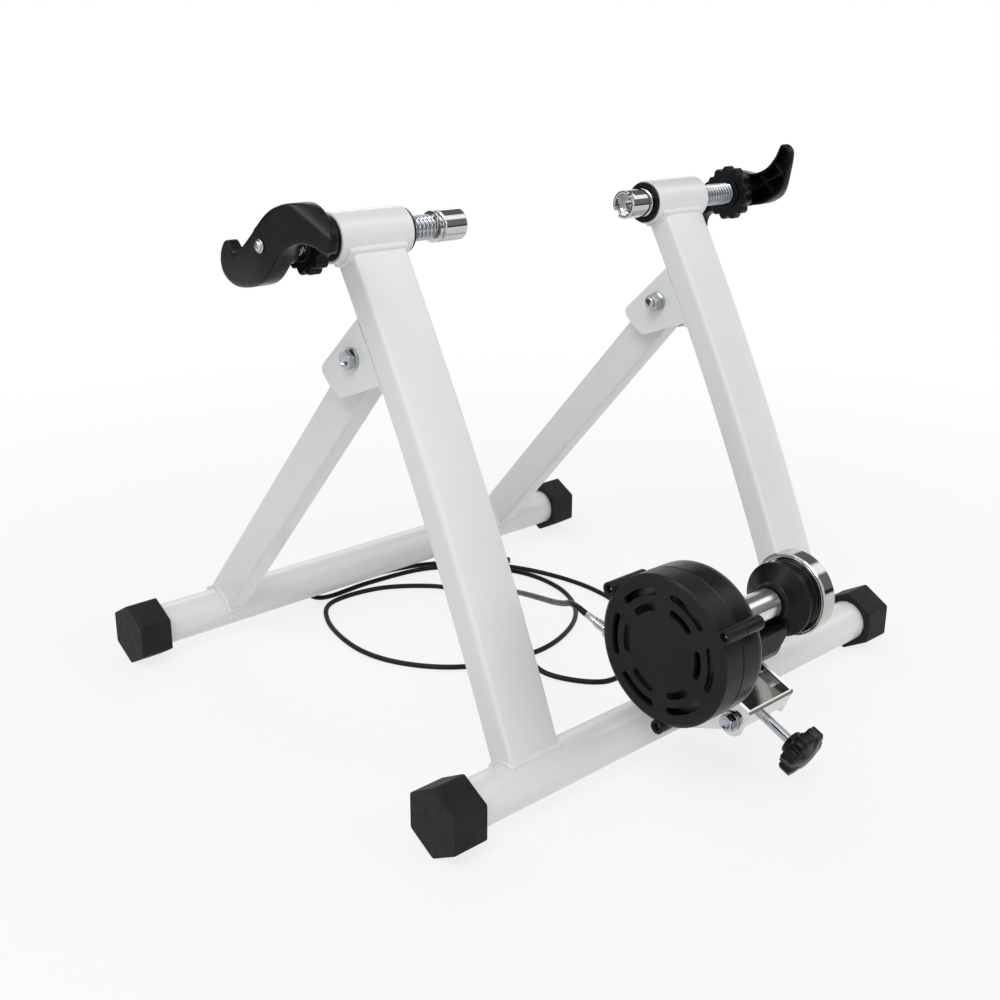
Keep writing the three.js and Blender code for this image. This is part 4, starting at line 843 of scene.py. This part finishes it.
def axle_cup(side_name, side, cup_face):
    """Open cup with a grooved collar at its root and a slot across its rim."""
    def bend(inward, radius, angle):
        beside = SLOT_HALF - abs(radius * sin(angle - CUP_SLOTS[side_name]))
        if inward < SLOT_REACH:
            inward += SLOT_DEPTH * min(1.0, max(0.0, 0.5 + beside / SLOT_EDGE))
        return side * (cup_face + inward), radius

    form = ringed(CUP_ROWS, 256, about(AXLE), bend)
    flattened(finished(
        "axle_cup_body_" + side_name, form, "chrome", "cup_" + side_name, 40.0,
        "axle_cup_" + side_name))


NUT_RADIUS, NUT_LOBE_DEPTH, NUT_LOBES = 25.2, 2.9, 13
NUT_ROWS = ((0.0, -1.6), (0.5, -0.6), (1.4, 0.0), (9.6, 0.0), (10.5, -0.6), (11.0, -1.6))
NUT_BORE = 10.5


def lock_nut(side_name, side, face):
    start = side * face
    body = "nut_" + side_name
    node = "lock_nut_" + side_name
    count = 12 * NUT_LOBES
    points = []
    for depth, grow in NUT_ROWS:
        for angle in angles(count):
            groove = NUT_LOBE_DEPTH * ((1 - cos(NUT_LOBES * angle)) / 2) ** 1.5
            spot = polar(NUT_RADIUS + grow - groove, angle)
            points.append(about(AXLE)(start + side * depth, *spot))
    form = points, capped(len(NUT_ROWS), count)
    nut = finished("lock_nut_wheel_" + side_name, form, "black_plastic", body, 45.0, node)
    bore = offset(start, side, ((-6, 0.0), (-6, NUT_BORE), (18, NUT_BORE), (18, 0.0)))
    carved(nut, [tool(lathe(bore, AXLE, 64))])
    for end_name, near, far in (("inner", 0.3, -2.5), ("outer", 10.7, 13.5)):
        profile = offset(start, side, (
            (near, 15.0), (far, 14.6), (far, NUT_BORE), (near, NUT_BORE), (near, 15.0)))
        name = f"lock_nut_hub_{side_name}_{end_name}"
        turned(name, profile, AXLE, "black_plastic", body, 0.5)


# Outline of the left handle's front in its own plane: the neck, the upper wing, the lower wing
HANDLE_OUTLINE = [
    (-22.2, 1.4), (-13.5, 7.2), (-6, 12.8), (0.9, 18.2), (5.8, 22.1), (10.5, 25.2), (15.2, 27.7),
    (19.7, 29.4), (25.5, 31.2), (33, 32.4), (41, 32.4), (48, 30.0), (55.3, 25.4), (61.4, 21.8),
    (66.2, 17.6), (69.2, 12.6), (69.8, 7.0), (68.4, 2.4), (65.4, 0.4), (61.2, 1.6), (55, 4),
    (49.7, 4.9), (43.2, 5.4), (37.8, 4.8), (33.3, 3.3), (26.5, 0), (20.6, -4.4), (16.9, -8.4),
    (13.5, -12.6), (9.5, -17.6), (3.1, -24), (-4.8, -28.4), (-17.1, -32.0), (-31.5, -34.6),
    (-41.9, -35.6), (-50.2, -35.4), (-58.4, -34.1), (-64.5, -32.1), (-69.5, -29), (-72.4, -25.2),
    (-73.6, -21), (-73.3, -16.8), (-71.5, -12.1), (-68.1, -7.6), (-64.3, -4.4), (-60.2, -3.2),
    (-57.2, -5), (-54, -8.3), (-49.5, -10.4), (-44, -10.2), (-37, -7.4), (-29.9, -3.3),
]
HANDLE_TURN = {"left": 0.0, "right": radians(134)}
WING_REACH, WING_SWEEP = 68.0, 11.0
CREASE = ((41.6, 26.2), (71.5, 10.2))
SKIN = 3.0
EDGE_RADIUS = 1.7
RIB_PLACES = (29.0, 49.0)
RIB_HALF, RIB_FLANK = 1.45, 0.4
HANDLE_STEPS = 220


def round_loop(points, count):
    """A smooth closed curve through points, at even steps."""
    dense = []
    total = len(points)
    for i in range(total):
        a, b, c, d = (Vector(points[(i + k) % total]) for k in (-1, 0, 1, 2))
        for k in range(8):
            t = k / 8
            dense.append(
                b + (c - a) * 0.5 * t + (a * 2 - b * 5 + c * 4 - d) * 0.5 * t ** 2
                + (b * 3 - a - c * 3 + d) * 0.5 * t ** 3)
    steps = [(dense[(i + 1) % len(dense)] - p).length for i, p in enumerate(dense)]
    whole = sum(steps)
    out, i, passed = [], 0, 0.0
    for k in range(count):
        goal = whole * k / count
        while passed + steps[i] < goal:
            passed += steps[i]
            i += 1
        out.append(dense[i].lerp(dense[(i + 1) % len(dense)], (goal - passed) / steps[i]))
    return out


def drawn_in(loop, distance):
    """A closed loop moved inwards by a distance, taking the loop to run clockwise."""
    out = []
    for i, point in enumerate(loop):
        run = (loop[(i + 1) % len(loop)] - loop[i - 1]).normalized()
        out.append(point + Vector((run.y, -run.x)) * distance)
    return out


def inside(point, loop):
    hit = False
    for i, a in enumerate(loop):
        b = loop[i - 1]
        if (a.y > point.y) != (b.y > point.y):
            if point.x < (b.x - a.x) * (point.y - a.y) / (b.y - a.y) + a.x:
                hit = not hit
    return hit


def handle_front(p, q, fall=1.0):
    """Height of the handle's front: swept back on both wings and creased across the upper one."""
    height = -WING_SWEEP * (sqrt(p * p + 64.0) - 8.0) / WING_REACH
    (p0, q0), (p1, q1) = CREASE
    run = Vector((p1 - p0, q1 - q0)).normalized()
    beyond = (p - p0) * -run.y + (q - q0) * run.x
    if p > 20:
        height -= fall * (sqrt(beyond * beyond + 3.0) + beyond) / 2
    return height


def handle_back(p, q):
    """Height of the back edge, where the walls grow shallower towards the tips."""
    return handle_front(p, q, 0.3) - 16.0 + 8.5 * min(1.0, (p / 72.0) ** 2)


def rib_line(p):
    """Where the long rib of each wing runs."""
    return 0.31 * p - 1.0 + (6.0 if p > 0 else -6.0)


def rib_rise(distance):
    return min(1.0, max(0.0, (RIB_HALF - abs(distance)) / RIB_FLANK))


def handle_pocket(p, q):
    """Height of the hollow behind the front skin, with its ribs."""
    top = handle_back(p, q) + 1.2
    floor_height = max(handle_front(p, q) - SKIN, top - 0.7)
    rise = max(rib_rise(q - rib_line(p)), *(rib_rise(abs(p) - place) for place in RIB_PLACES))
    return floor_height + (top - floor_height) * rise


def pocket_spots():
    """Points behind the handle, closer together where a rib starts and ends."""
    near_rib = (-RIB_HALF, -RIB_HALF + RIB_FLANK, 0.0, RIB_HALF - RIB_FLANK, RIB_HALF)
    step = 1.9
    columns = [
        step * a for a in range(-40, 41)
        if all(abs(abs(step * a) - place) > 2.2 for place in RIB_PLACES)]
    columns += [side * place + d for _, side in SIDES for place in RIB_PLACES for d in near_rib]
    spots = []
    for p in sorted(columns):
        ridge = rib_line(p)
        spots += [Vector((p, ridge + d)) for d in near_rib]
        spots += [
            Vector((p, ridge + side * (2.6 + step * b))) for _, side in SIDES for b in range(30)]
    return spots


def handle(side_name, side, face):
    """S shaped handle: smooth front, edge walls, hollow behind with ribs and a round hub."""
    body = "clamp_" + side_name
    loop = round_loop(HANDLE_OUTLINE, HANDLE_STEPS)
    c, s = cos(HANDLE_TURN[side_name]), sin(HANDLE_TURN[side_name])
    rows = []
    for k in range(6):
        bend = pi / 2 * k / 5
        drop = EDGE_RADIUS * (1 - cos(bend))
        shape = drawn_in(loop, EDGE_RADIUS * (1 - sin(bend)))
        rows.append([(v.x, v.y, handle_front(v.x, v.y) - drop) for v in shape])
    for inset, height, lift in (
        (0.0, handle_back, 0.6), (0.2, handle_back, 0.15), (0.6, handle_back, 0.0),
        (2.5, handle_back, 0.0), (2.9, handle_pocket, 0.0),
    ):
        rows.append([(v.x, v.y, height(v.x, v.y) + lift) for v in drawn_in(loop, inset)])
    points = [v for row in rows for v in row]
    faces = bands(len(rows), HANDLE_STEPS)
    front_spots = [Vector((2.6 * a, 2.6 * b)) for a in range(-30, 31) for b in range(-15, 16)]
    for inset, margin, spots, height, step in (
        (EDGE_RADIUS, 1.2, front_spots, handle_front, 1),
        (2.9, 0.8, pocket_spots(), handle_pocket, -1),
    ):
        keep = drawn_in(loop, inset + margin)
        flat = drawn_in(loop, inset) + [v for v in spots if inside(v, keep)]
        found = delaunay_2d_cdt(flat, [], [list(range(HANDLE_STEPS))], 1, 1e-5)
        start = len(points)
        points += [(v.x, v.y, height(v.x, v.y)) for v in found[0]]
        faces += [tuple(start + i for i in f)[::step] for f in found[2]]
    name = "handle_shell_" + side_name
    points = [
        about(AXLE)(face + side * h, side * (p * c - q * s), p * s + q * c) for p, q, h in points]
    mesh = reworked(
        mesh_of(name, (points, faces)),
        lambda work: bmesh.ops.remove_doubles(work, verts=work.verts, dist=0.00002))
    dressed(name, mesh, "black_plastic", body, 42.0, "handle_" + side_name)
    hub = ring_profile(face - side * 2.2, face - side * 24.5, 15.0, 10.4)
    turned("handle_hub_" + side_name, hub, AXLE, "black_plastic", body, 0.8, 72)


def handle_screw(side_name, side, face):
    """Dished washer and cross recessed screw in the handle's middle."""
    body = "clamp_" + side_name
    seat = face + side * 0.35
    washer = offset(seat, side, ((0.0, 0.0), (0.0, 5.2), (0.8, 5.0), (1.1, 4.3), (1.1, 0.0)))
    turned("handle_washer_" + side_name, washer, AXLE, "zinc", body, 0.3, 64)
    seat += side * 1.0
    head = offset(seat, side, (
        (0.0, 0.0), (0.0, 3.9), (0.7, 3.9), (1.6, 3.2), (2.2, 1.8), (2.3, 0.0)))
    screw = turned(
        "handle_screw_head_" + side_name, head, AXLE, "chrome", body, 0.5, 64,
        "handle_screw_" + side_name)
    cross_recess(screw, AXLE, (2.5, 0.6), 0.5, *sorted((seat + side * 0.6, seat + side * 4)))


for side_name, side in SIDES:
    cup_face = CUP_FACES[side_name]
    handle_face = side * (cup_face + CLAMP_LENGTH)
    axle_rod(side_name, side, cup_face)
    axle_cup(side_name, side, cup_face)
    lock_nut(side_name, side, NUT_FACES[side_name])
    handle(side_name, side, handle_face)
    handle_screw(side_name, side, handle_face)


# Resistance unit: places along X of the cover's face, its joint with the shell, and the shell's end

FACE_X = -111.0
COVER_END = -90.5
SHELL_START = COVER_END + 0.3
SHELL_END = -66.0
HOUSING_RADIUS = 58.4
HOUSING_WALL = 2.6
POST_CIRCLE = 62.0
POST_RADIUS = 5.6
POSTS = [
    (UNIT[0] + y, UNIT[1] + z)
    for y, z in (polar(POST_CIRCLE, pi - radians(29) + angle) for angle in angles(3))]
VENT_COUNT = 6
VENT_WIDTH = 5.6
VENT_CIRCLES = ((45.3, radians(44)), (33.6, radians(38)))


def vent_outline(circle, sweep, width, middle):
    """A curved slot with round ends."""
    half = sweep / 2 - width / 2 / circle
    steps = 16
    points = []
    for sign in (1, -1):
        rim = circle + sign * width / 2
        for i in range(steps + 1):
            angle = middle - sign * half + sign * 2 * half * i / steps
            points.append(polar(rim, angle))
        end = middle + sign * half
        for k in range(1, 6):
            turn = end + pi * k / 6 + (0 if sign > 0 else pi)
            points.append([
                a + b for a, b in zip(polar(circle, end), polar(width / 2, turn))])
    return [(UNIT[0] + a, UNIT[1] + b) for a, b in points]


def housing_cover():
    rim = HOUSING_RADIUS
    profile = [
        (FACE_X, 0.0), (FACE_X, 54.8), (FACE_X + 0.5, 56.4), (FACE_X + 2.0, 58.2),
        (FACE_X + 3.2, rim), (COVER_END - 0.8, rim), (COVER_END, 57.8),
        (COVER_END, rim - HOUSING_WALL), (FACE_X + 3.0, rim - HOUSING_WALL), (FACE_X + 3.0, 0.0),
    ]
    cover = finished(
        "housing_cover_shell", lathe(profile, UNIT, 192), "grey_plastic", "unit", 30.0,
        "housing_cover")
    cutters = []
    for i in range(VENT_COUNT):
        middle = radians(-1) + 2 * pi / VENT_COUNT * i
        for circle, sweep in VENT_CIRCLES:
            outline = vent_outline(circle, sweep, VENT_WIDTH, middle)
            cutters.append(tool(prism(outline, FACE_X - 4, FACE_X + 7)))
    carved(cover, cutters)
    post_profile = [
        (FACE_X + 5, 0.0), (FACE_X + 5, 3.0), (FACE_X, 3.2), (FACE_X, POST_RADIUS),
        (COVER_END, POST_RADIUS), (COVER_END, 0.0),
    ]
    screw_profile = offset(
        FACE_X, 1, ((5.4, 0.0), (5.4, 2.6), (3.9, 2.6), (3.2, 1.6), (3.1, 0.0)))
    for i, post in enumerate(POSTS):
        turned(f"cover_post_{i}", post_profile, post, "grey_plastic", "unit", 0.5, 48)
        screw = turned(f"cover_screw_{i}", screw_profile, post, "zinc", "unit", 0.3, 32)
        cross_recess(screw, post, (1.7, 0.35), 0.3 + i, FACE_X + 1, FACE_X + 4.2)


def unit_shell():
    """Rear shell with its posts, the yoke under the roller and the bell round its bearing."""
    inner = 58.2 - HOUSING_WALL
    profile = [
        (SHELL_START, 57.6), (SHELL_START + 0.7, 58.3), (-74.0, 58.2), (-70.2, 57.9),
        (-67.9, 57.0), (-66.5, 55.6), (SHELL_END, 53.6), (SHELL_END, 14.0),
        (SHELL_END - 1.0, 7.5), (SHELL_END - 4, 7.5), (SHELL_END - 4, 49.8), (-75.0, inner),
        (SHELL_START, inner), (SHELL_START, 57.6),
    ]
    flattened(finished(
        "unit_rear_shell", lathe(profile, UNIT, 192), "black_plastic", "unit", 30.0, "unit_body"))
    post_profile = [
        (SHELL_START, 0.0), (SHELL_START, POST_RADIUS), (-71.5, POST_RADIUS), (-70.5, 4.6),
        (-70.5, 0.0),
    ]
    for i, post in enumerate(POSTS):
        turned(f"shell_post_{i}", post_profile, post, "black_plastic", "unit", 0.6, 48)
    guide = ring_profile(SHELL_START, SHELL_END - 2, 19.7, 17.1)
    turned("plate_guide_ring", guide, UNIT, "black_plastic", "unit", 0.3, 64)
    side_view = [
        (SHELL_END - 2, -15.5), (24.6, -15.5), (24.6, -21.0), (23.0, -25.0), (19.5, -29.0),
        (15.0, -32.4), (9.5, -34.2), (4.0, -34.5), (SHELL_END - 2, -34.5),
    ]
    beam = prism(side_view, -15.5, 15.5, lambda a, b, c: about(UNIT)(a, c, b))
    rounded(finished("yoke_beam", beam, "black_plastic", "unit"), 1.6, 3)
    bell = [
        (18.8, 6.5), (18.8, 15.4), (20.0, 15.6), (21.2, 16.4), (29.2, 30.4), (31.6, 30.4),
        (31.6, 27.8), (24.0, 12.8), (24.0, 6.5), (18.8, 6.5),
    ]
    turned("bearing_bell", bell, UNIT, "black_plastic", "unit", 0.6, 128)
    gusset = [
        (-13.5, -26.5), (-12.5, -27.5), (12.5, -27.5), (13.5, -26.5), (15.5, -12.0),
        (-15.5, -12.0),
    ]
    plate = prism(gusset, 21.4, 25.4, lambda a, b, c: about(UNIT)(c, a, b))
    rounded(finished("bell_gusset", plate, "black_plastic", "unit"), 0.8)


def spinning_pieces():
    """Roller, shaft, ribbed core, flywheel and the disc that the magnets brake."""
    bore = 6.3
    core = [(33.2, bore), (33.2, 27.0), (33.8, 28.2)]
    for x in (36.0, 38.8):
        core += [(x, 28.2), (x, 26.8), (x + 1.2, 26.8), (x + 1.2, 28.2)]
    core += [(43.2, 28.2), (43.2, bore), (33.2, bore)]
    wheel = [
        (43.8, bore), (43.8, 30.2), (43.2, 30.5), (43.2, 31.6), (43.9, 31.9), (43.9, 32.5),
        (43.3, 32.8), (43.3, 33.3), (44.4, 34.4), (56.5, 34.4), (57.5, 33.4), (57.5, 26.4),
        (56.0, 25.4), (49.2, 24.4), (49.2, 11.0), (57.0, 10.4), (57.5, 9.6), (57.5, bore),
        (43.8, bore),
    ]
    disc = [
        (-99.5, bore), (-99.5, 50.0), (-97.1, 50.0), (-97.1, 10.0), (-93.5, 10.0), (-93.5, bore),
        (-99.5, bore),
    ]
    barrel = [(-64.9, bore), (-64.9, 12.9), (17.6, 12.9), (17.6, bore), (-64.9, bore)]
    shaft = [(-105.0, 0.0), (-105.0, 6.0), (60.0, 6.0), (60.0, 0.0)]
    for name, node, profile, slot, soften, sides, face in (
        ("roller_barrel", "roller", barrel, "brushed_steel", 1.0, 128, None),
        ("roller_shaft", "shaft", shaft, "zinc", 1.0, 64, None),
        ("flywheel_black_core", "flywheel_core", core, "black_plastic", 0.3, 144, None),
        ("flywheel_ring", "flywheel", wheel, "chrome", 0.22, 200, FLYWHEEL_FACE),
        # the brake disc takes the darkened aluminium, painted shade inside the housing
        ("brake_disc", "rotor_disc", disc, "aluminium", 0.3, 96, DISC_FACE_PAINTED_SHADE),
    ):
        piece = turned(name, profile, UNIT, slot, "spinner", soften, sides, node)
        if face:
            piece.data.materials[0] = face


housing_cover()
unit_shell()
spinning_pieces()
from_solid("swing_arm_casting", "swing_arm", "black_plastic", "unit", 0.9)

# Carrier, cross pin and adjusting screw

CARRIER_TILT = radians(23)
TILT_COS, TILT_SIN = cos(CARRIER_TILT), sin(CARRIER_TILT)
CARRIER_LIFT = 3.2
CARRIER_CORNER = 5.0


def carrier_shape(work):
    """Raises the deck and rims a little and bends the far front corner wide."""
    origin = at(0.0, *TRUNNION)
    square = Vector((0.0, -TILT_SIN, TILT_COS))
    along = Vector((0.0, TILT_COS, TILT_SIN))

    def height(v):
        return (v.co - origin).dot(square)

    def depth(v):
        return (v.co - origin).dot(along)

    heights = [height(v) / MM for v in work.verts]
    top = max(heights)
    front = min(depth(v) for v in work.verts)
    for v, old_height in zip(work.verts, heights):
        if old_height > top - 8.0:
            v.co += square * CARRIER_LIFT * MM
            if old_height < top - 0.5 and depth(v) - front < 0.0004:
                v.co += square * 1.5 * MM
    right = max(v.co.x for v in work.verts)
    for v in work.verts:
        if right - v.co.x < 0.005 and height(v) < 0 and depth(v) < 0.012:
            v.co -= square * height(v) * 0.4
    corner = [
        e for e in work.edges
        if all(right - v.co.x < 0.0002 and depth(v) - front < 0.0006 for v in e.verts)]
    bmesh.ops.bevel(
        work, geom=corner, offset=CARRIER_CORNER * MM, offset_type="OFFSET", segments=6,
        profile=0.5, affect="EDGES", clamp_overlap=True)


from_solid(
    "carrier_pressing", "unit_carrier", "bright_plate", "frame", 1.1, 3, shape=carrier_shape)

PIN_LEFT, PIN_RIGHT = -27.8, 30.3
PIN_RADIUS = 4.0
PIN_WASHER = 1.5
SCREW_X = 3.5
SCREW_RADIUS = 4.0
KNOB_RADIUS = 20.8
KNOB_END = 55.0


def screw_frame(along, across, up):
    """Millimetres of a point in the adjusting screw's own frame, along running to the knob."""
    return (
        SCREW_X + across,
        TRUNNION[0] - along * TILT_COS + up * TILT_SIN,
        TRUNNION[1] - along * TILT_SIN - up * TILT_COS)


def cross_pin():
    seat = PIN_LEFT - PIN_WASHER
    washer = ring_profile(PIN_LEFT, seat, 8.4, PIN_RADIUS)
    turned("cross_pin_washer", washer, TRUNNION, "zinc", "frame", 0.4, node="cross_pin")
    hexagon("cross_pin_head", 6.8, 1.2, seat, PIN_LEFT - 7.0, TRUNNION, 1.5)
    shank = [
        (PIN_LEFT - 1.0, 0.0), (PIN_LEFT - 1.0, PIN_RADIUS), (-9.5, PIN_RADIUS), (-9.5, 7.5),
        (16.5, 7.5), (16.5, PIN_RADIUS), (PIN_RIGHT + 8.0, PIN_RADIUS), (PIN_RIGHT + 8.0, 0.0),
    ]
    turned("cross_pin_barrel", shank, TRUNNION, "zinc", "frame", 0.6, 64)
    hexagon("cross_pin_nut", 7.6, 1.2, PIN_RIGHT, PIN_RIGHT + 6.8, TRUNNION)


def adjusting_screw():
    """Threaded through the cross pin, plain from there to the knob."""
    thread = thread_surface(-22.4, 10.0, SCREW_RADIUS, -1.25, 0.7, 32, 8, screw_frame)
    finished("adjusting_thread", thread, "zinc", "screw", 60.0, "adjusting_screw")
    rows = (
        (-24.0, 1.8), (-23.2, 3.0), (-22.2, 3.6), (-21.5, 3.4), (9.5, 3.4), (10.2, SCREW_RADIUS),
        (KNOB_END, SCREW_RADIUS))
    shank = circles(rows, 48, screw_frame), capped(len(rows), 48)
    finished("adjusting_shank", shank, "zinc", "screw", 40.0)


def star_knob():
    """Six broad lobes, each with four grip flutes, and a shallow domed face."""
    count = 240
    rows = (
        (-11.0, -1.2, 1.0), (-10.4, -0.3, 1.0), (-9.6, 0.0, 1.0), (-1.2, 0.0, 1.0),
        (-0.4, -0.4, 1.0), (0.0, -1.4, 1.0), (0.9, -3.4, 0.35), (1.3, -5.0, 0.0))
    dome = [
        (KNOB_END + height, (KNOB_RADIUS - 5.0) * share)
        for share, height in ((0.7, 2.2), (0.45, 3.2), (0.2, 3.8))]
    points = []
    for along, grow, fluted in rows:
        for angle in angles(count):
            lobe = 4.2 * abs(sin(3 * angle)) ** 3
            flute = 1.3 * abs(sin(12 * angle)) ** 0.7 * fluted - 0.6 * fluted
            r = KNOB_RADIUS - lobe - flute + grow
            points.append(screw_frame(KNOB_END + along, *polar(r, angle)))
    points += circles(dome, count, screw_frame)
    head = points, capped(len(rows) + len(dome), count)
    finished("star_knob_head", head, "black_plastic", "knob", 50.0, "star_knob")
    hub = offset(
        KNOB_END, 1, ((-17.0, 4.3), (-17.0, 9.2), (-16.2, 10.0), (-10.5, 10.4), (-10.5, 4.3)))
    hub_form = ringed(hub, 48, screw_frame, closed=True)
    finished("star_knob_hub", hub_form, "black_plastic", "knob", 40.0)


def cable_adjuster():
    """Lock nut against the cover, ribbed barrel and a slim ferrule where the sheath goes in."""
    rise, tilt, x = -9.5, radians(15), -100.0
    root = (UNIT[0] + sqrt(HOUSING_RADIUS ** 2 - rise ** 2), UNIT[1] + rise)
    rows = [
        (1.0, 0.0), (1.0, 3.0), (2.4, 3.2), (2.4, 5.4), (3.0, 5.8), (5.4, 5.8), (6.0, 5.4),
        (6.0, 3.0),
    ]
    for i in range(5):
        start = 6.8 + 1.9 * i
        rows += [(start, 3.0), (start + 0.3, 3.9), (start + 1.2, 3.9), (start + 1.5, 3.0)]
    rows += [
        (17.2, 2.7), (17.6, 3.4), (19.2, 3.4), (19.6, 2.9), (27.2, 2.8), (27.8, 2.5), (27.8, 0.0),
    ]

    def tilted(along, across, up):
        return (
            x + across,
            root[0] + along * cos(tilt) - up * sin(tilt),
            root[1] + along * sin(tilt) + up * cos(tilt))

    form = ringed(rows, 48, tilted)
    finished("cable_adjuster_barrel", form, "aluminium", "unit", 40.0, "cable_adjuster")


cross_pin()
adjusting_screw()
star_knob()
cable_adjuster()
from_solid("lever_housing", "lever_body", "black_plastic", "frame", 0.8)
from_solid("lever_thumb_arm", "lever_arm", "black_plastic", "lever", 0.8)


# Remaining CAD nodes keep their shape and get the finish of their slot

def dress_remaining():
    slots = {entry["node"]: entry["material_slot"] for entry in frame["record"]["subparts"]}
    for node, obj in frame["nodes"].items():
        if not obj.material_slots:
            obj.data.materials.append(FINISHES[slots[node]])
        for slot in obj.material_slots:
            slot.material = FINISHES[slots[node]]


dress_remaining()


# Floor, background and light

WHITE = (1.0, 1.0, 1.0, 1.0)
FLOOR_REACH = 9.0


def sheet(name, corners):
    """A flat four-sided piece of the studio, in metres."""
    mesh = bpy.data.meshes.new(name)
    mesh.from_pydata(corners, [], [(0, 1, 2, 3)])
    return placed(name, mesh)


def seen_directly(tree):
    """1 for what the camera sees, also in mirrors and through glass, and 0 for spread light."""
    rays = add_node(tree, "ShaderNodeLightPath").outputs
    share = rays["Is Camera Ray"]
    for kind in ("Is Glossy Ray", "Is Transmission Ray"):
        share = add_node(
            tree, "ShaderNodeMath", {0: share, 1: rays[kind]}, operation="MAXIMUM").outputs[0]
    return share


def mixed_surface(tree, output, share, first, second):
    mix = add_node(
        tree, "ShaderNodeMixShader", {0: share, 1: first.outputs[0], 2: second.outputs[0]})
    set_sockets(tree.nodes[output], {"Surface": mix.outputs[0]})


def floor():
    """Pale floor that fades into the white background away from the object."""
    reach = FLOOR_REACH
    ground = sheet("floor", [
        (-reach, -reach, 0), (reach, -reach, 0), (reach, reach, 0), (-reach, reach, 0)])
    ground.location.z = -0.0002
    material, shader = new_finish("pale_floor", (0.86, 0.86, 0.86), 0.8)
    set_sockets(shader, {"Specular IOR Level": 0.1})
    tree = material.node_tree
    glow = add_node(tree, "ShaderNodeEmission", {"Color": WHITE, "Strength": 1.0})
    points = add_node(tree, "ShaderNodeTexCoord").outputs["Object"]
    far = add_node(tree, "ShaderNodeVectorMath", {0: points}, operation="LENGTH")
    fade = add_node(tree, "ShaderNodeMapRange", {
        "Value": far.outputs["Value"],
        "From Min": 0.45, "From Max": 1.3, "To Min": 0.80, "To Max": 1.0})
    share = add_node(
        tree, "ShaderNodeMath", {0: seen_directly(tree), 1: fade.outputs["Result"]},
        operation="MULTIPLY")
    mixed_surface(tree, "Material Output", share.outputs[0], shader, glow)
    ground.data.materials.append(material)


def world_light():
    """Soft even light, in front of a white background."""
    world = bpy.data.worlds.new("studio")
    bpy.context.scene.world = world
    world.use_nodes = True
    tree = world.node_tree
    plain = tree.nodes["Background"]
    set_sockets(plain, {"Color": WHITE, "Strength": 0.46})
    seen = add_node(tree, "ShaderNodeBackground", {"Color": WHITE, "Strength": 1.0})
    mixed_surface(tree, "World Output", seen_directly(tree), plain, seen)


def lamp(name, place, size, power):
    """A soft rectangular lamp that faces the object."""
    data = bpy.data.lights.new(name, "AREA")
    data.shape = "RECTANGLE"
    data.size, data.size_y = size
    data.energy = power
    light = placed(name, data)
    light.location = place
    aim = Vector((0, 0, 0.2)) - Vector(place)
    light.rotation_euler = aim.to_track_quat("-Z", "Y").to_euler()


def reflected_card(name, corners, tone):
    """An even card of one brightness, seen only in reflections."""
    card = sheet(name, corners)
    material, shader = new_finish(name, (0.0, 0.0, 0.0), 0.9)
    set_sockets(shader, {
        "Specular IOR Level": 0.0,
        "Emission Color": (tone, tone, tone * 1.01, 1.0),
        "Emission Strength": 1.0,
    })
    card.data.materials.append(material)
    card.visible_camera = False
    card.visible_diffuse = False
    card.visible_shadow = False


def reflected_board(name, from_angle, to_angle, tone):
    """A card far to the right of the object, along X, between two angles about it."""
    reach, near, far = 2.2, 0.6, 3.2
    low, high = (
        Vector(polar(reach, radians(angle))) + Vector((0.0, 0.3))
        for angle in (from_angle, to_angle))
    reflected_card(name, [(near, *low), (far, *low), (far, *high), (near, *high)], tone)


floor()
world_light()
lamp("key_light", (-1.6, -0.9, 2.3), (1.4, 1.4), 28.0)
lamp("front_light", (0.9, -2.4, 1.3), (1.6, 1.0), 14.0)
lamp("back_light", (1.2, 1.8, 1.8), (1.6, 1.0), 9.0)
reflected_board("grey_board_high", 38, 100, 0.17)
reflected_board("bright_strip", 106, 132, 1.6)
reflected_board("grey_board_near", 136, 178, 0.22)
reflected_board("dark_board_low", 178, 196, 0.02)
reflected_card(
    "grey_card_behind",
    [(-2.8, 2.0, 0.02), (0.5, 2.0, 0.02), (0.5, 2.0, 1.2), (-2.8, 2.0, 1.2)], 0.12)
reflected_card(
    "bright_card_left",
    [(-2.1, 0.2, 1.6), (-2.1, 1.0, 1.6), (-1.6, 1.0, 2.2), (-1.6, 0.2, 2.2)], 7.0)
